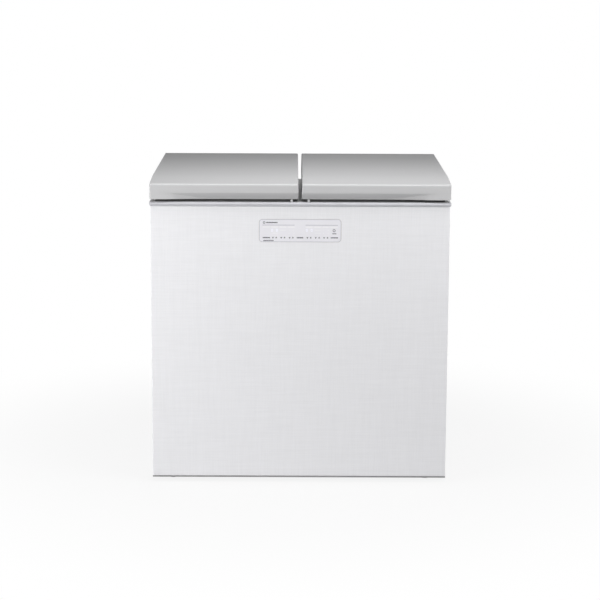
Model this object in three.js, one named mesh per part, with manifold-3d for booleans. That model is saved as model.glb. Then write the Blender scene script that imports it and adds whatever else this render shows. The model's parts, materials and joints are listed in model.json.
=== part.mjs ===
// A chest-type kimchi refrigerator with two lids, about 220 litres, in millimetres.
// +Z is up, the front faces -Y, and the origin is on the floor under the middle of the cabinet.

import * as THREE from "three";
import { mergeVertices } from "three/addons/utils/BufferGeometryUtils.js";
import Module from "manifold-3d";

const wasm = await Module();
wasm.setup();

// ---------------------------------------------------------------- driving dimensions

const gap = 0.3; // between pieces that rest on or fit into each other
const bite = 0.5; // how far two solids run into each other where they are joined
const past = 1; // how far a cutting solid runs past the face that it opens

// overall
const width = 925; // across the deck's collar
const depth = 765; // front of the lids to the back of the rear cover
const height = 950; // floor to the top of the lids

// cabinet
const floorGap = 15; // floor to the base frame
const shellInset = 4; // the collar stands this far out past the shell's sides
const shellSheet = 1.2;
const panelSetback = 4; // front panel behind the front of the lids
const panelSheet = 1.5;
const panelReturn = 8; // folded edge of the front panel
const bottomTrimHeight = 4;
const baseSheet = 1.5;
const baseWallHeight = 30;
const foamWall = 58; // between the shell and a well
const middleWall = 60; // between the two wells
const rearCoverDepth = 8;

// deck round the mouths of the wells
const deckHeight = 12.5; // the collar and the front trim
const deckPlate = 3;
const deckSkirt = 8; // wall of the collar
const deckOverhang = 4; // past the shell at the back
const deckBulge = 3.5; // rounding of the collar's edge
const deckCornerRadius = 10;
const trimDepth = 12;
const deckFrontWall = 4; // wall of the deck against the back of the front trim
const mouthWall = 2.5; // skirt that hangs into each well
const mouthDepth = 33;
const channelWidth = 16; // drip channel under the gap between the lids
const channelDepth = 24;
const channelWall = 2;
const channelSetback = 30; // behind the front of the lids

// wells
const wellFloorFoam = 88; // between the machine room and a well's floor
const wellCornerRadius = 24;
const linerSheet = 1.5;
const coolingPipeRadius = 4;
const coolingClearance = 1; // pipe to liner, and pipe to foam
const coolingTurns = 5;
const coolingBottom = 30; // first turn above the well's floor
const coolingTop = 60; // last turn below the deck

// lids
const lidThickness = 56;
const lidGap = 8.5; // lid to deck, where the gasket sits
const lidSpacing = 9; // between the lids at their lower edges
const lidDraft = 2.5; // each inner side leans away by this much
const lidSideInset = 1.5; // lid inside the collar's side
const lidRearInset = 8.5; // lid in front of the deck's back edge
const lidSheet = 2;
const lidCrown = 6; // how far the front edge drops below the top
const lidCrownRun = 150; // over this distance from the front
const lidEdgeRadius = 3;
const lidRearRadius = 6;
const lidCornerRadius = 6;
const gripHeight = 18; // scooped finger grip under each front edge
const gripDepth = 10;
const gripFade = 110; // the scoop runs out over this length
const gripEndInset = 60; // and ends this far from the lid's outer side
const lidLinerSheet = 2;
const plugDepth = 18; // lid liner below the deck's top
const plugClearance = 8; // round the plug in the well's mouth
const gasketWidth = 11;
const gasketLanding = 17; // deck between the gasket and a well's mouth at the back
const gasketInset = 16; // gasket behind the lid's front face
const gasketSideInset = 6.5; // gasket from the lid's inner side
const bumperRadius = 4;
const bumperOffset = 26; // from the middle of the cabinet

// lid hinges
const hingeSetback = 12; // pivot in front of the lid's back face
const hingeRise = 10; // pivot above the lid's lower edge
const hingeInset = 105; // middle of each hinge from that side of the lid
const hingeZone = 22; // lid liner and foam stop this far in front of the pivot
const pinRadius = 3;
const pinHeadRadius = 5;
const pinHeadThickness = 2;
const earSheet = 3;
const earInside = 21; // half the distance between the ears
const earRadius = 7.5;
const knuckleRadius = 7;
const springWire = 1;
const springTurns = 6;
const springLength = 17;
const notchHalfWidth = 29; // opening in the lid's back wall round each hinge
const notchRise = 10; // above the pivot
const leafSheet = 3;
const leafReach = 60;
const leafHalfWidth = 30;
const hingePlate = 1.5;

// control panel
const windowWidth = 252;
const windowHeight = 71;
const windowRadius = 7.5;
const windowBelowDeck = 87.5; // middle of the window below the deck's top
const boardStandoff = 8;
const boardMargin = 8;
const boardSheet = 1.6;

// feet and rollers
const footInset = 60; // from the shell's side
const footSetback = 70; // from the front
const footPadRadius = 20;
const footStemRadius = 5;
const footStemTop = 40;
const rollerSetback = 70; // from the shell's back
const rollerRadius = 12.5;
const rollerWidth = 20;
const rollerSideGap = 2;
const axleRadius = 3;
const bracketSheet = 1.5;
const bracketFlange = 18;
const bracketHalfLength = 16;

// machine room, low at the back
const machineDepth = 400;
const machineHeight = 269; // above the base frame's walls
const machineLine = 156; // line of the compressor and the fan, in front of the back wall
const coverSheet = 1.2;
const openingMargin = 78; // of the shell's opening from each side
const coverOverlap = 14;
const slotCount = 13; // in each of two rows of louvres
const slotWidth = 7;
const slotHeight = 80;
const slotMargin = 58; // of each row from the middle and from the cover's side
const compressorRadius = 76;
const compressorHeight = 168;
const compressorX = 60;
const stubHeight = 60; // discharge stub above the can's bottom
const stubReach = 12;
const cradleSheet = 3;
const cradleHalfX = 92;
const cradleHalfY = 62;
const grommetRadius = 13;
const grommetHeight = 24;
const fanFromCondenser = 158.5; // the fan's plate from the middle of the condenser
const fanRadius = 66;
const fanHubRadius = 18;
const fanBlades = 5;
const shroudSheet = 3;
const shroudHalf = 90;
const shroudFootDrop = 8; // the shroud's foot below its round hole's square
const shroudFootReach = 30;
const shaftRadius = 2.5;
const motorRadius = 22;
const condenserInset = 68; // middle of the condenser inside the shell
const condenserPipeRadius = 3.5;
const condenserRuns = 6;
const condenserLayers = 2;
const condenserPitch = 32;
const condenserRunLength = 210;
const dischargeRadius = 3;
const boardBoxInset = 125;
const boardBoxHalfX = 75;
const boardBoxHalfY = 55;
const boardBoxHeight = 58;
const glandRadius = 9;
const glandBoreRadius = 4;
const glandFlange = 4;

// storage tubs, a stack of two in the back half of the left well
const tubSideClearance = 7;
const tubWall = 2.5;
const tubRim = 3;
const tubHeadroom = 12; // over the upper tub, under the lid's plug
const tubLidHeight = 14;
const tubLidOverlap = 8;
const tubLidSheet = 2.5;

// ---------------------------------------------------------------- places worked out from them

const halfWidth = width / 2;
const front = -depth / 2;
const rear = depth / 2;

const lidBottom = height - lidThickness;
const deckTop = lidBottom - lidGap;
const deckBottom = deckTop - deckHeight;
const deckPlateBottom = deckTop - deckPlate;

const shellHalf = halfWidth - shellInset;
const shellRear = rear - rearCoverDepth;
const shellTop = deckBottom - gap;
const panelFront = front + panelSetback;
const panelBack = panelFront + panelReturn;
const shellFront = panelBack + gap;
const deckRear = shellRear + deckOverhang;
const baseTop = floorGap + baseSheet;
const baseWallTop = floorGap + baseWallHeight;
const baseRear = shellRear - shellSheet - gap;

const lidInner = lidSpacing / 2;
const lidOuter = halfWidth - lidSideInset;
const lidRear = deckRear - lidRearInset;
const pivotY = lidRear - hingeSetback;
const pivotZ = lidBottom + hingeRise;
const hingeSpots = [lidInner + hingeInset, lidOuter - hingeInset];
const gasketRear = pivotY - hingeZone - 2;

const machineTop = baseWallTop + machineHeight;
const machineFront = baseRear - machineDepth;
const machineMiddleY = baseRear - machineLine;

const wellInner = middleWall / 2;
const wellOuter = shellHalf - foamWall;
const wellFront = panelFront + foamWall;
const wellRear = gasketRear - gasketWidth - gasketLanding;
const wellFloor = machineTop + wellFloorFoam;
const wellDepth = deckTop - wellFloor;
const wellMiddleX = (wellInner + wellOuter) / 2;
const wellMiddleY = (wellFront + wellRear) / 2;
const wellHalfX = (wellOuter - wellInner) / 2;
const wellHalfY = (wellRear - wellFront) / 2;
const linerTop = deckTop - mouthDepth - gap;

const channelFloor = deckTop - channelDepth;
const windowZ = deckTop - windowBelowDeck;

// ---------------------------------------------------------------- solids

// A closed geometry as a solid that can be joined and cut.
function solidOf(geometry) {
  const bare = new THREE.BufferGeometry();
  const plain = geometry.index ? geometry.toNonIndexed() : geometry;
  bare.setAttribute("position", plain.getAttribute("position"));
  const merged = mergeVertices(bare, 1e-4);
  return new wasm.Manifold(
    new wasm.Mesh({
      numProp: 3,
      vertProperties: merged.getAttribute("position").array,
      triVerts: new Uint32Array(merged.index.array),
    }),
  );
}

function geometryOf(solid) {
  const mesh = solid.getMesh();
  const geometry = new THREE.BufferGeometry();
  geometry.setAttribute("position", new THREE.BufferAttribute(new Float32Array(mesh.vertProperties), 3));
  geometry.setIndex(new THREE.BufferAttribute(new Uint32Array(mesh.triVerts), 1));
  const shown = geometry.toNonIndexed();
  shown.computeVertexNormals();
  return shown;
}

const join = (first, ...others) => others.reduce((whole, piece) => whole.add(piece), first);
const cut = (first, ...tools) => tools.reduce((rest, tool) => rest.subtract(tool), first);

function block([x0, x1], [y0, y1], [z0, z1]) {
  const geometry = new THREE.BoxGeometry(x1 - x0, y1 - y0, z1 - z0);
  geometry.translate((x0 + x1) / 2, (y0 + y1) / 2, (z0 + z1) / 2);
  return solidOf(geometry);
}

// An outline of two coordinates with round corners.
function roundedOutline([a0, a1], [b0, b1], radius) {
  const outline = new THREE.Shape();
  const quarter = Math.PI / 2;
  outline.moveTo(a0 + radius, b0);
  outline.absarc(a1 - radius, b0 + radius, radius, -quarter, 0);
  outline.absarc(a1 - radius, b1 - radius, radius, 0, quarter);
  outline.absarc(a0 + radius, b1 - radius, radius, quarter, 2 * quarter);
  outline.absarc(a0 + radius, b0 + radius, radius, 2 * quarter, 3 * quarter);
  outline.closePath();
  return outline;
}

const outlineOf = (points) => new THREE.Shape(points.map(([a, b]) => new THREE.Vector2(a, b)));

const extruded = (outline, depth, curveSegments) =>
  new THREE.ExtrudeGeometry(outline, { depth, bevelEnabled: false, curveSegments });

// Outlines pushed along Z, X or Y. Their two coordinates are X and Y, Y and Z, or X and Z.
function alongZ(outline, [z0, z1], curveSegments = 4) {
  const geometry = extruded(outline, z1 - z0, curveSegments);
  geometry.translate(0, 0, z0);
  return solidOf(geometry);
}

function alongX(outline, [x0, x1], curveSegments = 4) {
  const geometry = extruded(outline, x1 - x0, curveSegments);
  const turn = new THREE.Matrix4().makeBasis(
    new THREE.Vector3(0, 1, 0),
    new THREE.Vector3(0, 0, 1),
    new THREE.Vector3(1, 0, 0),
  );
  geometry.applyMatrix4(turn);
  geometry.translate(x0, 0, 0);
  return solidOf(geometry);
}

function alongY(outline, [y0, y1], curveSegments = 4) {
  const geometry = extruded(outline, y1 - y0, curveSegments);
  geometry.rotateX(Math.PI / 2);
  geometry.translate(0, y1, 0);
  return solidOf(geometry);
}

// A round bar between two values on one axis, with its centre on the other two.
function rod(axis, radius, [from, to], [u, v] = [0, 0], segments = 12) {
  const geometry = new THREE.CylinderGeometry(radius, radius, to - from, segments);
  const middle = (from + to) / 2;
  if (axis === "x") {
    geometry.rotateZ(Math.PI / 2);
    geometry.translate(middle, u, v);
  } else if (axis === "y") {
    geometry.translate(u, middle, v);
  } else {
    geometry.rotateX(Math.PI / 2);
    geometry.translate(u, v, middle);
  }
  return solidOf(geometry);
}

// A profile of radius and height, turned about Z.
function turned(profile, segments = 20) {
  const points = profile.map(([radius, z]) => new THREE.Vector2(radius, z));
  const geometry = new THREE.LatheGeometry(points, segments);
  geometry.rotateX(Math.PI / 2);
  return solidOf(geometry);
}

// A curve that passes through its points in straight steps, one step for each.
class Route extends THREE.Curve {
  constructor(points) {
    super();
    this.points = points;
  }
  getPoint(t, target = new THREE.Vector3()) {
    const last = this.points.length - 1;
    const step = Math.min(Math.floor(t * last), last - 1);
    return target.copy(this.points[step]).lerp(this.points[step + 1], t * last - step);
  }
  getUtoTmapping(u) {
    return u;
  }
}

function pipe(points, radius, sides = 8) {
  const section = [];
  for (let i = 0; i < sides; i += 1) {
    const angle = (2 * Math.PI * i) / sides;
    section.push([radius * Math.cos(angle), radius * Math.sin(angle)]);
  }
  const geometry = new THREE.ExtrudeGeometry(outlineOf(section), {
    extrudePath: new Route(points),
    steps: points.length - 1,
  });
  return solidOf(geometry);
}

// ---------------------------------------------------------------- finishes

const finish = (color, roughness, metalness = 0) =>
  new THREE.MeshStandardMaterial({ color, roughness, metalness });
const finishes = {
  lid: finish(0xa9a9ab, 0.38, 0.4),
  panel: finish(0xe6e6e9, 0.3),
  side: finish(0xdcdce0, 0.45),
  trim: finish(0xc4c3c8, 0.3, 0.8),
  deck: finish(0xcfcfd3, 0.45),
  white: finish(0xeeeeee, 0.4),
  aluminium: finish(0xc6c8ca, 0.35, 1),
  foam: finish(0xe3d6a8, 0.9),
  seal: finish(0x3c3c3e, 0.7),
  dark: finish(0x2b2b2d, 0.6),
  steel: finish(0xb8b8b8, 0.35, 1),
  galvanised: finish(0xa7abad, 0.5, 0.9),
  copper: finish(0xb06b45, 0.35, 1),
  circuit: finish(0x2f6a45, 0.5),
  glass: finish(0xe2e1e8, 0.1),
  tub: finish(0xc9c2b6, 0.25),
  tubLid: finish(0x8a4b3a, 0.4),
};

const refrigerator = new THREE.Group();
const wellGroups = [-1, 1].map((side) => {
  const group = new THREE.Group();
  group.position.set(side * wellMiddleX, wellMiddleY, wellFloor);
  refrigerator.add(group);
  return group;
});

function place(name, solid, material, parent = refrigerator, position = [0, 0, 0]) {
  const mesh = new THREE.Mesh(geometryOf(solid), material);
  mesh.name = name;
  mesh.position.set(...position);
  parent.add(mesh);
}

const sides = [
  ["left", -1],
  ["right", 1],
];

// ---------------------------------------------------------------- cabinet

// Steel tray that carries everything, with holes for the feet, slots for the rollers
// and rests for the condenser.
function baseFrame() {
  const half = shellHalf - shellSheet - gap;
  const inner = half - baseSheet;
  const tray = cut(
    block([-half, half], [shellFront, baseRear], [floorGap, baseWallTop]),
    block([-inner, inner], [shellFront + baseSheet, baseRear - baseSheet], [baseTop, baseWallTop + 1]),
  );
  const slotHalfX = rollerWidth / 2 + rollerSideGap + bracketSheet + 4;
  const holes = sides.flatMap(([, side]) => [
    rod("z", footStemRadius + 0.4, [floorGap - 1, baseTop + 1], [side * footX, footY]),
    block(
      [side * footX - slotHalfX, side * footX + slotHalfX],
      [rollerY - rollerRadius - 4, rollerY + rollerRadius + 4],
      [floorGap - 1, baseTop + 1],
    ),
  ]);
  const restHalf = 6;
  const rests = [-0.35, 0.22].map((share) => {
    const y = machineMiddleY + share * condenserRunLength;
    const restTop = condenserBottom - condenserPipeRadius - gap;
    return block(
      [condenserX - condenserPitch / 2 - restHalf, condenserX + condenserPitch / 2 + restHalf],
      [y - restHalf, y + restHalf],
      [baseTop - 0.5, restTop],
    );
  });
  return join(cut(tray, ...holes), ...rests);
}

// Sides and back in one folded sheet, open low at the back for the machine room.
function cabinetShell() {
  const inner = shellHalf - shellSheet;
  const openingHalf = shellHalf - openingMargin;
  const channelHalf = channelWidth / 2 + channelWall + gap;
  return cut(
    block([-shellHalf, shellHalf], [shellFront, shellRear], [floorGap, shellTop]),
    block([-inner, inner], [shellFront - 1, shellRear - shellSheet], [floorGap - 1, shellTop + 1]),
    block([-openingHalf, openingHalf], [shellRear - 10, shellRear + 1], [openingBottom, openingTop]),
    block(
      [-channelHalf, channelHalf],
      [shellRear - 10, shellRear + past],
      [channelFloor - channelWall - gap, shellTop + past],
    ),
  );
}

// Foamed-in-place insulation, with the wells, the machine room and the pockets left out.
function foamBody() {
  const half = shellHalf - panelSheet - gap;
  const topHalf = halfWidth - deckSkirt - gap;
  const foamFront = panelFront + panelSheet + gap;
  const channelHalf = channelWidth / 2 + channelWall + gap;
  const jacket = linerSheet + 2 * (coolingPipeRadius + coolingClearance);
  const body = join(
    block([-half, half], [foamFront, baseRear], [baseWallTop + gap, shellTop - panelSheet - gap]),
    block(
      [-topHalf, topHalf],
      [front + trimDepth + deckFrontWall + gap, deckRear - deckSkirt - gap],
      [shellTop - 20, deckPlateBottom - gap],
    ),
  );
  const wells = sides.map(([, side]) => {
    const outline = roundedOutline(
      [side * wellMiddleX - wellHalfX - jacket, side * wellMiddleX + wellHalfX + jacket],
      [wellFront - jacket, wellRear + jacket],
      wellCornerRadius + jacket,
    );
    return alongZ(outline, [wellFloor - linerSheet - gap, deckTop]);
  });
  return cut(
    body,
    ...wells,
    block([-shellHalf, shellHalf], [machineFront, rear], [0, machineTop]),
    block(
      [-channelHalf, channelHalf],
      [front + channelSetback - gap, rear],
      [channelFloor - channelWall - gap, deckTop],
    ),
    block(
      [-windowWidth / 2 - 4, windowWidth / 2 + 4],
      [panelFront, panelFront + boardStandoff + 12],
      [windowZ - windowHeight / 2 - 4, windowZ + windowHeight / 2 + 4],
    ),
  );
}

function frontPanel() {
  const bottom = floorGap + bottomTrimHeight + gap;
  const inner = shellHalf - panelSheet;
  const windowHole = roundedOutline(
    [-windowWidth / 2 - gap, windowWidth / 2 + gap],
    [windowZ - windowHeight / 2 - gap, windowZ + windowHeight / 2 + gap],
    windowRadius + gap,
  );
  return cut(
    block([-shellHalf, shellHalf], [panelFront, panelBack], [bottom, shellTop]),
    block(
      [-inner, inner],
      [panelFront + panelSheet, panelBack + past],
      [bottom + panelSheet, shellTop - panelSheet],
    ),
    alongY(windowHole, [panelFront - 1, panelFront + panelSheet + 1]),
  );
}

const bottomTrim = () =>
  block([-shellHalf, shellHalf], [panelFront, panelBack], [floorGap, floorGap + bottomTrimHeight]);

function controlWindow() {
  const outline = roundedOutline(
    [-windowWidth / 2, windowWidth / 2],
    [windowZ - windowHeight / 2, windowZ + windowHeight / 2],
    windowRadius,
  );
  return alongY(outline, [panelFront, panelFront + panelSheet]);
}

// Display board on four posts behind the window.
function controlBoard() {
  const halfX = windowWidth / 2 - boardMargin;
  const halfZ = windowHeight / 2 - boardMargin;
  const windowBack = panelFront + panelSheet + gap;
  const boardFront = windowBack + boardStandoff;
  const postInset = 6;
  const posts = [-1, 1].flatMap((x) =>
    [-1, 1].map((z) => {
      const spot = [x * (halfX - postInset), windowZ + z * (halfZ - postInset)];
      return rod("y", 3, [windowBack, boardFront + bite], spot);
    }),
  );
  const board = block(
    [-halfX, halfX],
    [boardFront, boardFront + boardSheet],
    [windowZ - halfZ, windowZ + halfZ],
  );
  return join(board, ...posts);
}

// ---------------------------------------------------------------- deck, trim and bumpers

// The whole collar with its rounded edge, before the front strip is parted off.
function collar() {
  const outline = roundedOutline(
    [-halfWidth + deckBulge, halfWidth - deckBulge],
    [front + deckBulge, deckRear - deckBulge],
    deckCornerRadius - deckBulge,
  );
  const geometry = new THREE.ExtrudeGeometry(outline, {
    depth: deckHeight - 2 * deckBulge,
    bevelSize: deckBulge,
    bevelThickness: deckBulge,
    bevelSegments: 3,
    curveSegments: 4,
  });
  geometry.translate(0, 0, deckBottom + deckBulge);
  return solidOf(geometry);
}

const trimSplit = front + trimDepth;

const frontTrim = () =>
  cut(collar(), block([-width, width], [trimSplit, rear + past], [deckBottom - past, deckTop + past]));

function topDeck() {
  const innerHalf = halfWidth - deckSkirt;
  const channelHalf = channelWidth / 2;
  const channelFront = front + channelSetback;
  const plate = cut(
    collar(),
    block([-width, width], [front - past, trimSplit + gap], [deckBottom - past, deckTop + past]),
    block(
      [-innerHalf, innerHalf],
      [trimSplit + deckFrontWall, deckRear - deckSkirt],
      [deckBottom - past, deckPlateBottom],
    ),
  );
  const mouths = sides.map(([, side]) => {
    const ring = (margin) =>
      roundedOutline(
        [side * wellMiddleX - wellHalfX - margin, side * wellMiddleX + wellHalfX + margin],
        [wellFront - margin, wellRear + margin],
        wellCornerRadius + margin,
      );
    return {
      skirt: alongZ(ring(mouthWall), [deckTop - mouthDepth, deckPlateBottom + 1]),
      hole: alongZ(ring(0), [deckTop - mouthDepth - 1, deckTop + 1]),
    };
  });
  const trough = block(
    [-channelHalf - channelWall, channelHalf + channelWall],
    [channelFront, deckRear - deckBulge],
    [channelFloor - channelWall, deckPlateBottom + 1],
  );
  const throughChannel = block(
    [-channelHalf, channelHalf],
    [channelFront + channelWall, deckRear + 1],
    [channelFloor, deckTop + 1],
  );
  return cut(join(plate, trough, ...mouths.map((m) => m.skirt)), throughChannel, ...mouths.map((m) => m.hole));
}

const bumper = () => rod("z", bumperRadius, [0, lidGap - 2 * gap], [0, 0]);

// ---------------------------------------------------------------- wells, from the middle of their floors

const wellOutline = (margin) =>
  roundedOutline(
    [-wellHalfX - margin, wellHalfX + margin],
    [-wellHalfY - margin, wellHalfY + margin],
    wellCornerRadius + margin,
  );

const wellLiner = () =>
  cut(
    alongZ(wellOutline(linerSheet), [-linerSheet, linerTop - wellFloor]),
    alongZ(wellOutline(0), [0, linerTop - wellFloor + 1]),
  );

// Refrigerant pipe wound round the liner, climbing steadily.
function coolingCoil() {
  const margin = linerSheet + coolingClearance + coolingPipeRadius;
  const radius = wellCornerRadius + margin;
  const arcSteps = 4;
  const corners = [
    [1, -1],
    [1, 1],
    [-1, 1],
    [-1, -1],
  ];
  const lap = [];
  corners.forEach(([sx, sy], corner) => {
    const start = -Math.PI / 2 + (corner * Math.PI) / 2;
    for (let i = 0; i <= arcSteps; i += 1) {
      const angle = start + (i * Math.PI) / 2 / arcSteps;
      lap.push([
        sx * (wellHalfX - wellCornerRadius) + radius * Math.cos(angle),
        sy * (wellHalfY - wellCornerRadius) + radius * Math.sin(angle),
      ]);
    }
  });
  const flat = [];
  for (let turn = 0; turn < coolingTurns; turn += 1) {
    flat.push(...lap);
  }
  const run = [0];
  for (let i = 1; i < flat.length; i += 1) {
    run.push(run[i - 1] + Math.hypot(flat[i][0] - flat[i - 1][0], flat[i][1] - flat[i - 1][1]));
  }
  const climb = wellDepth - coolingBottom - coolingTop;
  const points = flat.map(([x, y], i) => {
    const z = coolingBottom + (climb * run[i]) / run.at(-1);
    return new THREE.Vector3(x, y, z);
  });
  return pipe(points, coolingPipeRadius, 6);
}

// ---------------------------------------------------------------- storage tubs

const tubHalfX = wellHalfX - tubSideClearance - tubRim;
const tubHalfY = wellHalfY / 2 - tubSideClearance / 2 - tubRim;
const tubRadius = wellCornerRadius;
const tubStep = (wellDepth - plugDepth - tubHeadroom) / 2;
const tubHeight = tubStep - gap - tubLidHeight + tubLidOverlap;
const tubMiddleY = wellHalfY - tubSideClearance - tubRim - tubHalfY;
const tubOutline = (margin) =>
  roundedOutline(
    [-tubHalfX - margin, tubHalfX + margin],
    [-tubHalfY - margin, tubHalfY + margin],
    tubRadius + margin,
  );

function tub() {
  const ledgeTop = tubHeight - tubLidOverlap - gap;
  return cut(
    join(
      alongZ(tubOutline(0), [0, tubHeight]),
      alongZ(tubOutline(tubRim), [ledgeTop - 4, ledgeTop]),
    ),
    alongZ(tubOutline(-tubWall), [tubWall, tubHeight + 1]),
  );
}

// A cap over the rim, with a panel sunk inside its edge where the tub above stands.
function tubLid() {
  const skirtBottom = tubHeight - tubLidOverlap;
  const top = skirtBottom + tubLidHeight;
  return cut(
    alongZ(tubOutline(gap + tubLidSheet), [skirtBottom, top]),
    alongZ(tubOutline(gap), [skirtBottom - 1, tubHeight + gap]),
    alongZ(tubOutline(-12), [tubHeight + gap + tubLidSheet, top + 1]),
  );
}

// ---------------------------------------------------------------- lids, modelled for the right-hand side

// Side view of a lid in Y and Z, shrunk by inset for what lies inside it.
function lidSection(inset, bottom, back = lidRear - inset) {
  const top = height - inset;
  const face = front + inset;
  const creaseZ = height - lidCrown - inset;
  const points = [
    [back, bottom],
    [back, top - lidRearRadius],
    [back - lidRearRadius * 0.3, top - lidRearRadius * 0.3],
    [back - lidRearRadius, top],
  ];
  const crownSteps = 6;
  for (let i = 0; i < crownSteps; i += 1) {
    const share = i / crownSteps;
    points.push([face + lidCrownRun * (1 - share), top - lidCrown * share * share]);
  }
  points.push([face + lidEdgeRadius, creaseZ]);
  points.push([face + lidEdgeRadius * 0.3, creaseZ - lidEdgeRadius * 0.3]);
  points.push([face, creaseZ - lidEdgeRadius]);
  if (inset > 0) {
    const gripTop = lidBottom + gripHeight + inset;
    points.push([face, gripTop]);
    points.push([face + gripDepth + 1, lidBottom + inset]);
    points.push([face + gripDepth + 1, bottom]);
  } else {
    points.push([face, bottom]);
  }
  return outlineOf(points);
}

function lidCover() {
  const plan = roundedOutline([lidInner, lidOuter], [front, lidRear], lidCornerRadius);
  const body = alongX(lidSection(0, lidBottom), [lidInner, lidOuter]).intersect(
    alongZ(plan, [lidBottom - past, height + past]),
  );
  const lean = alongY(
    outlineOf([
      [-10, lidBottom - 1],
      [lidInner, lidBottom - 1],
      [lidInner + lidDraft, height + 1],
      [-10, height + 1],
    ]),
    [front - 1, lidRear + 1],
  );
  const scoop = alongX(
    outlineOf([
      [front - 1, lidBottom - 1],
      [front + gripDepth, lidBottom - 1],
      [front + gripDepth, lidBottom],
      [front, lidBottom + gripHeight],
      [front - 1, lidBottom + gripHeight],
    ]),
    [0, lidOuter + 1],
  ).intersect(
    alongZ(
      outlineOf([
        [-1, front - 1.5],
        [lidOuter - gripEndInset, front - 1.5],
        [lidOuter - gripEndInset - gripFade, front + gripDepth + 1],
        [-1, front + gripDepth + 1],
      ]),
      [lidBottom - 2, height],
    ),
  );
  const hollow = alongX(lidSection(lidSheet, lidBottom - past), [
    lidInner + lidDraft + lidSheet,
    lidOuter - lidSheet,
  ]);
  const notches = hingeSpots.map((x) =>
    block(
      [x - notchHalfWidth, x + notchHalfWidth],
      [lidRear - 10, lidRear + past],
      [lidBottom - past, pivotZ + notchRise],
    ),
  );
  return cut(body, lean, scoop, hollow, ...notches);
}

const lidHollowX = [lidInner + lidDraft + lidSheet + gap, lidOuter - lidSheet - gap];
const lidFrontInside = front + lidSheet + gripDepth + 1 + gap;
const flangeBottom = lidBottom + 0.5;
const flangeTop = flangeBottom + lidLinerSheet;
const plugBottom = deckTop - plugDepth;

const plugOutline = (margin) =>
  roundedOutline(
    [wellInner + plugClearance + margin, wellOuter - plugClearance - margin],
    [wellFront + plugClearance + margin, wellRear - plugClearance - margin],
    wellCornerRadius - margin,
  );

// Flange that closes the lid, with a pan that dips into the mouth of the well.
function lidLiner() {
  return cut(
    join(
      block(lidHollowX, [lidFrontInside, pivotY - hingeZone], [flangeBottom, flangeTop]),
      alongZ(plugOutline(0), [plugBottom, flangeBottom + 1]),
    ),
    alongZ(plugOutline(lidLinerSheet), [plugBottom + lidLinerSheet, flangeTop + 1]),
  );
}

function lidFoam() {
  const [x0, x1] = lidHollowX;
  const body = join(
    alongX(lidSection(lidSheet + gap, flangeTop + gap, pivotY - hingeZone), [x0, x1]),
    alongZ(plugOutline(lidLinerSheet + gap), [plugBottom + lidLinerSheet + gap, flangeTop + 1]),
  );
  const pockets = hingeSpots.map((x) =>
    block(
      [x - leafHalfWidth - gap, x + leafHalfWidth + gap],
      [pivotY - leafReach - gap, pivotY],
      [flangeTop, leafTop + pivotZ + gap],
    ),
  );
  return cut(body, ...pockets);
}

function lidGasket() {
  const ring = (margin) =>
    roundedOutline(
      [lidInner + gasketSideInset + margin, lidOuter - gasketInset - margin],
      [front + gasketInset + margin, pivotY - hingeZone - 2 - margin],
      8,
    );
  const heights = [deckTop + gap, flangeBottom - gap];
  return cut(alongZ(ring(0), heights), alongZ(ring(gasketWidth), [heights[0] - 1, heights[1] + 1]));
}

// ---------------------------------------------------------------- hinges, modelled from the pivot

const leafBottom = flangeTop + gap - pivotZ;
const leafTop = leafBottom + leafSheet;
const hingeFloor = deckTop + gap - pivotZ;
const plateTop = hingeFloor + hingePlate;
const earOutside = earInside + earSheet;

function hingeBase() {
  const plate = block([-earOutside - 2, earOutside + 2], [-16, 14], [hingeFloor, plateTop]);
  const ears = [-1, 1].flatMap((side) => {
    const span = side < 0 ? [-earOutside, -earInside] : [earInside, earOutside];
    const web = block(span, [-earRadius + bite, earRadius - bite], [plateTop - bite, 0]);
    return [web, rod("x", earRadius, span, [0, 0], 16)];
  });
  return cut(join(plate, ...ears), rod("x", pinRadius + gap, [-earOutside - 1, earOutside + 1]));
}

const hingePin = () =>
  join(
    rod("x", pinRadius, [-earOutside - gap - 0.5, earOutside + gap + 0.5]),
    rod("x", pinHeadRadius, [-earOutside - gap - pinHeadThickness, -earOutside - gap]),
    rod("x", pinHeadRadius, [earOutside + gap, earOutside + gap + pinHeadThickness]),
  );

// The spring sits on the pin beside the knuckle, so that hinge has a shorter knuckle.
function hingeLeaf(withSpring) {
  const side = earInside - 0.5;
  const end = withSpring ? side - springLength - 2 * springWire : side;
  return cut(
    join(
      rod("x", knuckleRadius, [-side, end], [0, 0], 16),
      block([-side + 1, end - 1], [-leafReach, -3], [leafBottom, leafTop]),
      block([-leafHalfWidth, leafHalfWidth], [-leafReach, -hingeZone - 2], [leafBottom, leafTop]),
    ),
    rod("x", pinRadius + gap, [-side - 1, side + 1]),
  );
}

// Torsion spring of round wire on the pin, one unbroken coil.
function hingeSpring() {
  const radius = pinRadius + gap + springWire + 0.6;
  const stepsPerTurn = 8;
  const steps = springTurns * stepsPerTurn;
  const points = [];
  for (let i = 0; i <= steps; i += 1) {
    const angle = (2 * Math.PI * i) / stepsPerTurn;
    const x = earInside - 0.5 - springWire - (springLength * i) / steps;
    points.push(new THREE.Vector3(x, radius * Math.cos(angle), radius * Math.sin(angle)));
  }
  return pipe(points, springWire, 5);
}

// ---------------------------------------------------------------- feet and rollers, modelled on the floor

const footX = shellHalf - footInset;
const footY = front + footSetback;
const rollerY = shellRear - rollerSetback;

// Pad, lock nut and threaded stem. The nut seats under the base frame.
const foot = () =>
  turned([
    [0, 0],
    [footPadRadius, 0],
    [footPadRadius, 5],
    [12, 10],
    [9, 10],
    [9, floorGap - gap],
    [footStemRadius, floorGap - gap],
    [footStemRadius, footStemTop],
    [0, footStemTop],
  ]);

const cheekInside = rollerWidth / 2 + rollerSideGap;
const cheekOutside = cheekInside + bracketSheet;

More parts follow.
